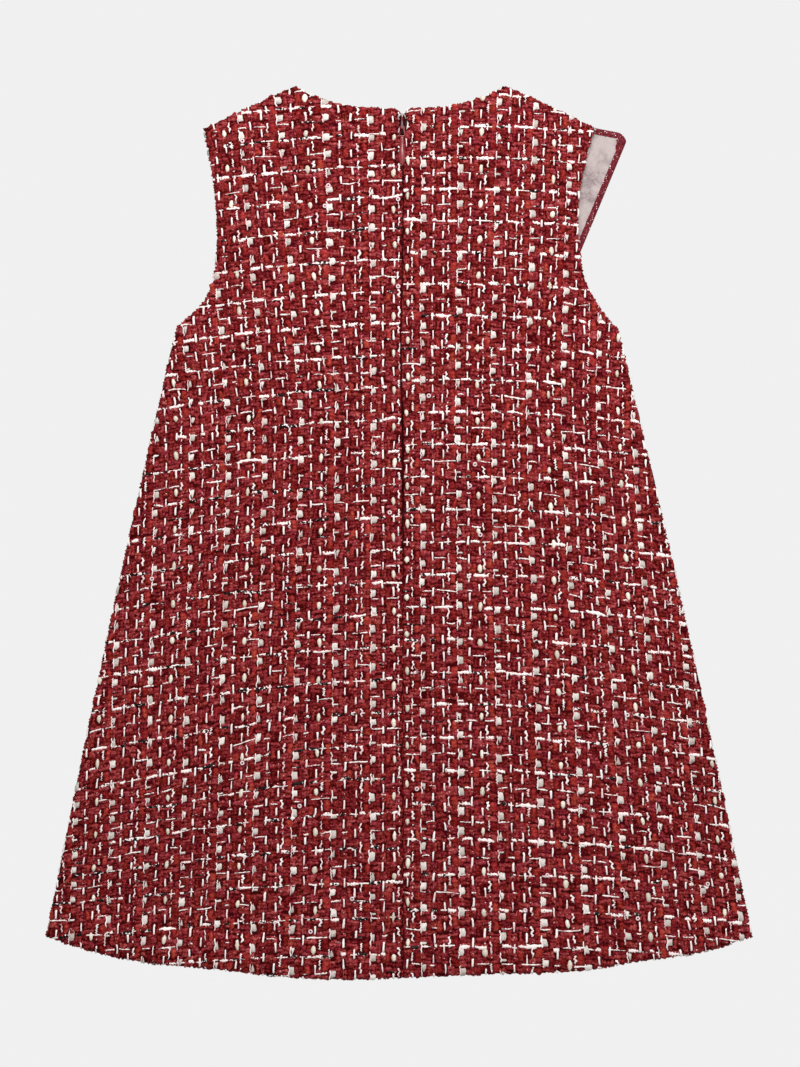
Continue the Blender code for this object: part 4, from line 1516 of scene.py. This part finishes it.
def edgePath():
    # the stitched edge, from the top of the seam round the corner to the tail, at even steps
    look, count = overlockLook, overlockLook["samples"]
    part = np.linspace(0.0, 1.0, count)
    top = roundedPoint(part, np.ones(count)).T
    free = roundedPoint(np.ones(count), 1.0 - part).T[1:]
    points = np.vstack([top, free])
    run = np.concatenate([[0.0], np.cumsum(np.linalg.norm(np.diff(points, axis=0), axis=1))])
    steps = np.arange(0.0, run[-1], look["pitch"])
    places = np.column_stack([np.interp(steps, run, points[:, 0]), np.interp(steps, run, points[:, 1])])
    ahead = np.gradient(places, axis=0)
    ahead /= np.linalg.norm(ahead, axis=1)[:, None]
    inward = np.column_stack([ahead[:, 1], -ahead[:, 0]])
    past = steps - run[len(top) - 1]
    near = smooth((past + look["before"]) / look["before"])
    near = near * (1.0 - smooth((past - look["past"]) / look["fade"]))
    width = look["wide"] + (look["wideAtCorner"] - look["wide"]) * near
    return places - inward * look["over"], inward, width


def makeBand(places, inward, width):
    # thread over both faces of the edge
    low, high, bevel = overlockLook["low"], overlockLook["high"], overlockLook["bevel"]
    section = ((1.0, high - bevel), (0.6, high), (0.15, high - bevel / 2), (0.0, (low + high) / 2),
               (0.15, low + bevel / 2), (0.6, low), (1.0, low + bevel))
    bm = bmesh.new()
    rows = []
    for place, side, wide in zip(places, inward, width):
        rows.append([bm.verts.new((*(place + side * wide * part), z)) for part, z in section])
    for row, after in zip(rows, rows[1:]):
        for index in range(len(section) - 1):
            bm.faces.new((row[index], after[index], after[index + 1], row[index + 1]))
    bmesh.ops.recalc_face_normals(bm, faces=bm.faces)
    bm.normal_update()
    if sum(face.normal.z * (face.calc_center_median().z - (low + high) / 2) for face in bm.faces) < 0:
        bmesh.ops.reverse_faces(bm, faces=bm.faces)
    return asObject("overlock_band", bm, materials["overlock"])


def makeStitches(places, inward, width):
    # a stitch across the band at every step
    look, count = overlockLook, len(places)
    shape = np.repeat(coarseTemplates["strand"]["points"][None], count, axis=0)
    ahead = np.column_stack([-inward[:, 1], inward[:, 0]])
    slant = normal(look["slant"], count)[:, None]
    across = (shape[..., 1] + 0.5) * width[:, None] * uniform(*look["stitchReach"], count)[:, None]
    beside = shape[..., 0] * look["stitchWidth"] + slant * across
    beside = beside + normal(look["rough"], beside.shape)
    points = np.stack([
        places[:, :1] + inward[:, :1] * across + ahead[:, :1] * beside,
        places[:, 1:] + inward[:, 1:] * across + ahead[:, 1:] * beside,
        look["high"] - look["bevel"] + look["stitchHigh"] * shape[..., 2],
    ], axis=-1)
    tints = uniform(0.0, 1.0, count)
    return joinedMesh("overlock_stitches", coarseTemplates["strand"], points, tints, materials["overlock"])


def makeSpecks(places, inward, width):
    # bits of white thread caught in the stitches
    look = overlockLook
    chosen = random.choice(len(places), look["specks"], replace=False)
    count = len(chosen)
    shape = np.repeat(coarseTemplates["dot"]["points"][None], count, axis=0)
    depth = (width[chosen] * uniform(*look["speckDepth"], count))[:, None]
    centre = places[chosen] + inward[chosen] * depth
    points = np.stack([
        centre[:, :1] + shape[..., 0] * uniform(*look["speckSize"], count)[:, None],
        centre[:, 1:] + shape[..., 1] * uniform(*look["speckSize"], count)[:, None],
        look["high"] + look["speckHigh"] * shape[..., 2],
    ], axis=-1)
    tints = uniform(*look["speckTint"], count)
    return joinedMesh("overlock_specks", coarseTemplates["dot"], points, tints, materials["whiteRibbon"])


def makeOverlock():
    path = edgePath()
    band, stitches, specks = makeBand(*path), makeStitches(*path), makeSpecks(*path)
    for obj in (band, stitches, specks):
        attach(obj, "dress")
    return band, stitches, specks


flounceFace, flounceLining, flounceCloth = makeFlounce()
overlock = makeOverlock()
print("flounce made")

# the concealed zip

zipLook = {
    "tapeWidth": 0.0115,
    "tapeGap": 0.0003,
    "tapeWall": 0.0009,
    "tapeThick": 0.0006,
    "tapeOpeningHalf": 0.0006,
    "topInset": 0.0044,
    "toothPitch": 0.0011,
    "toothFrom": 0.002,
    "toothLength": 0.0024,
    "toothOut": 0.0006,
    "toothDown": 0.0005,
    "toothHigh": 0.0006,
    "pullThick": 0.0012,
    "eyeLength": 0.0070,
    "eyeTopHalf": 0.0012,
    "eyeBaseHalf": 0.0024,
    "wire": 0.0008,
    "neckHalf": 0.0014,
    "dropHalf": 0.0024,
    "dropLength": 0.0205,
    "neckShare": 0.22,
    "roundShare": 0.37,
    "dome": 0.0007,
    "paint": ((0.3, (120, 31, 36)), (0.7, (142, 41, 46))),
    "darkPaint": ((0.3, (92, 30, 34)), (0.7, (116, 42, 46))),
    "tape": ((0.3, (40, 8, 13)), (0.7, (66, 16, 23))),
}


def tapeMiddle(x, y):
    return backMiddle(x, y) - wallAt(x, y) / 2 - zipLook["tapeGap"] - zipLook["tapeWall"] / 2


def tapeHalf(y):
    return openingHalf(y, zipLook["tapeOpeningHalf"])


materials["tape"] = threadMaterial("zip_tape_weave", zipLook["tape"], 900.0, 0.8)


def paintMaterial(name, stops):
    material = noisyMaterial(name, stops, (300.0, 2.0), 0.30)
    shader = material.node_tree.nodes["Principled BSDF"]
    shader.inputs["Coat Weight"].default_value = 0.4
    shader.inputs["Coat Roughness"].default_value = 0.12
    return material


materials["paint"] = paintMaterial("pull_paint_gloss", zipLook["paint"])
materials["darkPaint"] = paintMaterial("slider_paint_gloss", zipLook["darkPaint"])


def makeTape(name, side):
    def place(across, up):
        topY = cut["backNeck"][0] - zipLook["topInset"]
        y = zipCut["endY"] + (topY - zipCut["endY"]) * up
        return cut["centreBackX"] + side * (tapeHalf(y) + zipLook["tapeWidth"] * across), y

    def top(x, y):
        return tapeMiddle(x, y) + zipLook["tapeThick"] / 2

    return thinSheet(name + "_weave", 5, 60, place, top, zipLook["tapeThick"], materials["tape"],
                     "dress", name)


def makeTeeth():
    # the coils of the zip, under the inner edges of the tapes
    topY = cut["backNeck"][0] - 4 * zipLook["topInset"]
    y = np.arange(zipCut["endY"] + zipLook["toothFrom"], topY, zipLook["toothPitch"])
    parts = []
    for side in (-1, 1):
        rows = y + side * zipLook["toothPitch"] / 4
        shape = np.repeat(coarseTemplates["strand"]["points"][None], len(rows), axis=0)
        x = cut["centreBackX"] + side * zipLook["toothOut"] + shape[..., 1] * zipLook["toothLength"]
        rowY = rows[:, None] + shape[..., 0] * zipLook["toothPitch"] * 0.6
        level = tapeMiddle(np.full(len(rows), cut["centreBackX"]), rows)[:, None]
        z = level - zipLook["toothDown"] - shape[..., 2] * zipLook["toothHigh"]
        parts.append(np.stack([x, rowY, z], axis=-1))
    points = np.vstack(parts)
    tints = np.zeros(len(points))
    teeth = joinedMesh("zip_teeth", coarseTemplates["strand"], points, tints, materials["tape"])
    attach(teeth, "dress")
    return teeth


def dropHalf(down):
    # half the drop's width at a share of its length, from the eye to its round end
    look = zipLook
    neck, widest = look["neckShare"], 1.0 - look["roundShare"]
    grown = smooth((down - neck) / (widest - neck))
    growing = look["neckHalf"] + (look["dropHalf"] - look["neckHalf"]) * grown
    rounding = np.sqrt(np.clip(1.0 - (np.maximum(down - widest, 0.0) / look["roundShare"]) ** 2, 0.0, 1.0))
    return growing * rounding


def makePull():
    # a wire eye and a domed drop, built where they lie, round the hinge
    look = zipLook
    bm = bmesh.new()
    bmesh.ops.create_uvsphere(bm, u_segments=24, v_segments=22, radius=1.0)
    top = -look["eyeLength"] + look["wire"] / 2
    length = look["dropLength"] + look["wire"] / 2
    for vert in bm.verts:
        across, up, along = vert.co
        ring = max(math.hypot(across, up), 1e-6)
        down = (1.0 - along) / 2
        half = float(dropHalf(down)) * min(1.0, ring * 3.0)
        thick = look["pullThick"] / 2 + look["dome"] * half / look["dropHalf"]
        vert.co = (across / ring * half, top - length * down, up / ring * thick * min(1.0, ring * 3.0))
    half = look["wire"] / 2
    topHalf, baseHalf = look["eyeTopHalf"], look["eyeBaseHalf"] - half
    base = half - look["eyeLength"]
    corner = look["wire"] * 0.6
    loop = [(0.0, 0.0), (topHalf - corner / 2, 0.0), (topHalf, -corner / 2), (baseHalf, base + corner),
            (baseHalf - corner, base), (0.0, base)]
    loop += [(-x, y) for x, y in loop[-2:0:-1]] + [loop[0]]
    addThread(bm, [(x, y, 0.0) for x, y in loop], half * 1.35, 8)
    bmesh.ops.recalc_face_normals(bm, faces=bm.faces)
    bmesh.ops.translate(bm, verts=bm.verts, vec=zipCut["hinge"])
    pull = asObject("zip_pull_drop", bm, materials["paint"])
    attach(pull, "pull_tab")
    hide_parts("zip_pull")
    return pull


looseThread = {
    "over": 0.0012,
    "rise": 0.0008,
    "radius": 0.00042,
    # x, y and the share of the rise
    "path": (
        (-0.0016, 0.2894, 0.0), (-0.0012, 0.2906, 0.6), (0.0002, 0.2918, 1.0),
        (0.0020, 0.2924, 1.0), (0.0033, 0.2915, 0.8), (0.0040, 0.2892, 0.0),
    ),
}


def makeThreadArch():
    # a loose ivory thread over the top of the zip
    points = []
    for x, y, rise in looseThread["path"]:
        level = float(backMiddle(np.array(x), np.array(y)) + layers["wall"] / 2)
        points.append((x, y, level + looseThread["over"] + looseThread["rise"] * rise))
    bm = bmesh.new()
    addThread(bm, points, looseThread["radius"])
    arch_ = asObject("ivory_thread", bm, materials["ivoryTape"])
    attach(arch_, "dress")
    return arch_


tapes = [makeTape("zip_tape_left", -1), makeTape("zip_tape_right", 1)]
teeth = makeTeeth()
pull = makePull()
threadArch = makeThreadArch()
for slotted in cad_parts["zip_slider"].material_slots:
    slotted.material = materials["darkPaint"]
print("zip made")

# ring sequins caught in the weave

sequins = {
    "count": 26,
    "ring": 0.0011,
    "rim": 0.00052,
    "known": (
        (0.0222, 0.2650), (0.0486, 0.0333), (0.0480, -0.0300), (-0.1100, -0.1600), (-0.0700, -0.1900),
    ),
    "lean": 0.25,
    "over": 0.0004,
    "inside": 0.008,        # how far from the outline they keep
}


def makeSequins():
    bm = bmesh.new()
    places = list(sequins["known"])
    while len(places) < sequins["count"]:
        x, y = random.uniform(-0.22, 0.22), random.uniform(-0.29, 0.28)
        distance = toEdge(backEdge, np.array([x]), np.array([y]))[0][0]
        if distance > sequins["inside"]:
            places.append((x, y))
    for x, y in places:
        at = (np.array(x), np.array(y))
        level = float(backMiddle(*at) + wallAt(*at) / 2) + sequins["over"]
        most = sequins["lean"]
        tilt = Matrix.Rotation(random.uniform(-most, most), 4, "X")
        tilt = tilt @ Matrix.Rotation(random.uniform(-most, most), 4, "Y")
        upright = Matrix.Translation((sequins["ring"], 0, 0)) @ Matrix.Rotation(math.pi / 2, 4, "X")
        rim = bmesh.ops.create_circle(bm, segments=6, radius=sequins["rim"], matrix=upright)["verts"]
        edges = list({edge for vert in rim for edge in vert.link_edges})
        bmesh.ops.spin(bm, geom=rim + edges, cent=(0, 0, 0), axis=(0, 0, 1), angle=2 * math.pi,
                       steps=14, use_merge=True)
        made = {vert for vert in bm.verts if vert.is_valid and vert.co.length < 0.003}
        bmesh.ops.transform(bm, matrix=Matrix.Translation((x, y, level)) @ tilt, verts=list(made))
    bmesh.ops.recalc_face_normals(bm, faces=bm.faces)
    obj = asObject("ring_sequins", bm, materials["sequin"])
    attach(obj, "dress")
    return obj


def sequinMaterial():
    material, _, shader = newMaterial("ring_sequin", 0.25)
    shader.inputs["Base Color"].default_value = linear(236, 208, 212)
    return material


tangles = {
    "count": 44,
    "turns": 13,
    "spread": 0.0011,
    "thick": 0.00013,
    "close": 0.6,           # how tightly the steps of a curl lie
    "over": 0.0017,
    "inside": 0.010,
    "stops": ((0.3, (214, 150, 158)), (0.7, (238, 196, 200))),
}


def makeTangles():
    # fine pinkish threads that have worked loose in small curls
    bm = bmesh.new()
    made = 0
    while made < tangles["count"]:
        x, y = random.uniform(-0.23, 0.23), random.uniform(-0.30, 0.28)
        if toEdge(backEdge, np.array([x]), np.array([y]))[0][0] < tangles["inside"]:
            continue
        steps = random.normal(0.0, tangles["spread"], (tangles["turns"], 2))
        walk = np.cumsum(steps, axis=0) * tangles["close"]
        walkX, walkY = x + walk[:, 0] - walk[:, 0].mean(), y + walk[:, 1] - walk[:, 1].mean()
        level = backGround(walkX, walkY) + tangles["over"] + uniform(-0.0002, 0.0002, len(walkX))
        addThread(bm, np.column_stack([walkX, walkY, level]), tangles["thick"], 4)
        made += 1
    obj = asObject("loose_curls", bm, materials["tangle"])
    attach(obj, "dress")
    return obj


materials["sequin"] = sequinMaterial()
materials["tangle"] = threadMaterial("loose_thread", tangles["stops"], 800.0, 0.7)
ringSequins = makeSequins()
looseCurls = makeTangles()
print("sequins made")

# each piece of cloth as it was cut: width, length and area in the flat
cutSizes = {
    "backLeft": (0.252, 0.628, 0.1155),
    "backRight": (0.248, 0.626, 0.1120),
    "front": (0.497, 0.628, 0.2200),
    "flounce": (0.064, 0.236, 0.0080),
    "zipTape": (zipLook["tapeWidth"], 0.3275, 0.00377),
}


def declareSheet(obj, size, withPieces):
    width, length, area = cutSizes[size]
    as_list(withPieces)


declareSheet(sheets["front"], "front", cloths["front"]["yarns"])
declareSheet(sheets["backLeft"], "backLeft",
             cloths["backLeft"]["yarns"] + [ringSequins, looseCurls, threadArch])
declareSheet(sheets["backRight"], "backRight", cloths["backRight"]["yarns"])
declareSheet(flounceFace, "flounce", flounceCloth["yarns"])
declareSheet(flounceLining, "flounce", overlock)
declareSheet(tapes[0], "zipTape", [teeth])
declareSheet(tapes[1], "zipTape", [])

# floor, light and camera

studio = {
    "floor": (240, 240, 240),
    "floorHalf": 3.0,
    "worldStrength": 0.445,
    "keyPower": 21.0,
    "keySize": 0.8,
    "keyPlace": (0.18, 0.85, 1.15),
    "photoPixel": 0.0007,
    "photoHigh": 1067,
    "lens": 100.0,
    "sensor": 36.0,
    "floorDown": 0.0004,
}


def makeFloor():
    bm = bmesh.new()
    bmesh.ops.create_grid(bm, x_segments=1, y_segments=1, size=studio["floorHalf"])
    bmesh.ops.translate(bm, verts=bm.verts, vec=(0.0, 0.0, -studio["floorDown"]))
    material, _, shader = newMaterial("pale_floor", 1.0, 0.0)
    floor = asObject("floor", bm, material)
    shader.inputs["Base Color"].default_value = (0.0, 0.0, 0.0, 1.0)
    shader.inputs["Emission Color"].default_value = linear(*studio["floor"])
    shader.inputs["Emission Strength"].default_value = 1.0


def makeLight():
    world = bpy.data.worlds.new("studio")
    world.use_nodes = True
    sky = world.node_tree.nodes["Background"]
    sky.inputs["Color"].default_value = (1.0, 1.0, 1.0, 1.0)
    sky.inputs["Strength"].default_value = studio["worldStrength"]
    bpy.context.scene.world = world
    lamp = bpy.data.lights.new("softbox", "AREA")
    lamp.energy = studio["keyPower"]
    lamp.shape = "SQUARE"
    lamp.size = studio["keySize"]
    box = bpy.data.objects.new("softbox", lamp)
    box.location = studio["keyPlace"]
    box.rotation_euler = (Vector((0.0, 0.0, 0.0)) - box.location).to_track_quat("-Z", "Y").to_euler()
    bpy.context.scene.collection.objects.link(box)


def makeCamera():
    # straight above the dress, with the photo's frame
    high = studio["photoHigh"] * studio["photoPixel"]
    data = bpy.data.cameras.new("camera")
    data.lens = studio["lens"]
    data.sensor_width = studio["sensor"]
    camera = bpy.data.objects.new("camera", data)
    camera.location = (0.0, 0.0, high * data.lens / data.sensor_width)
    bpy.context.scene.collection.objects.link(camera)
    bpy.context.scene.camera = camera


makeFloor()
makeLight()
makeCamera()
bpy.context.scene.view_settings.view_transform = "Standard"

print("scene made")
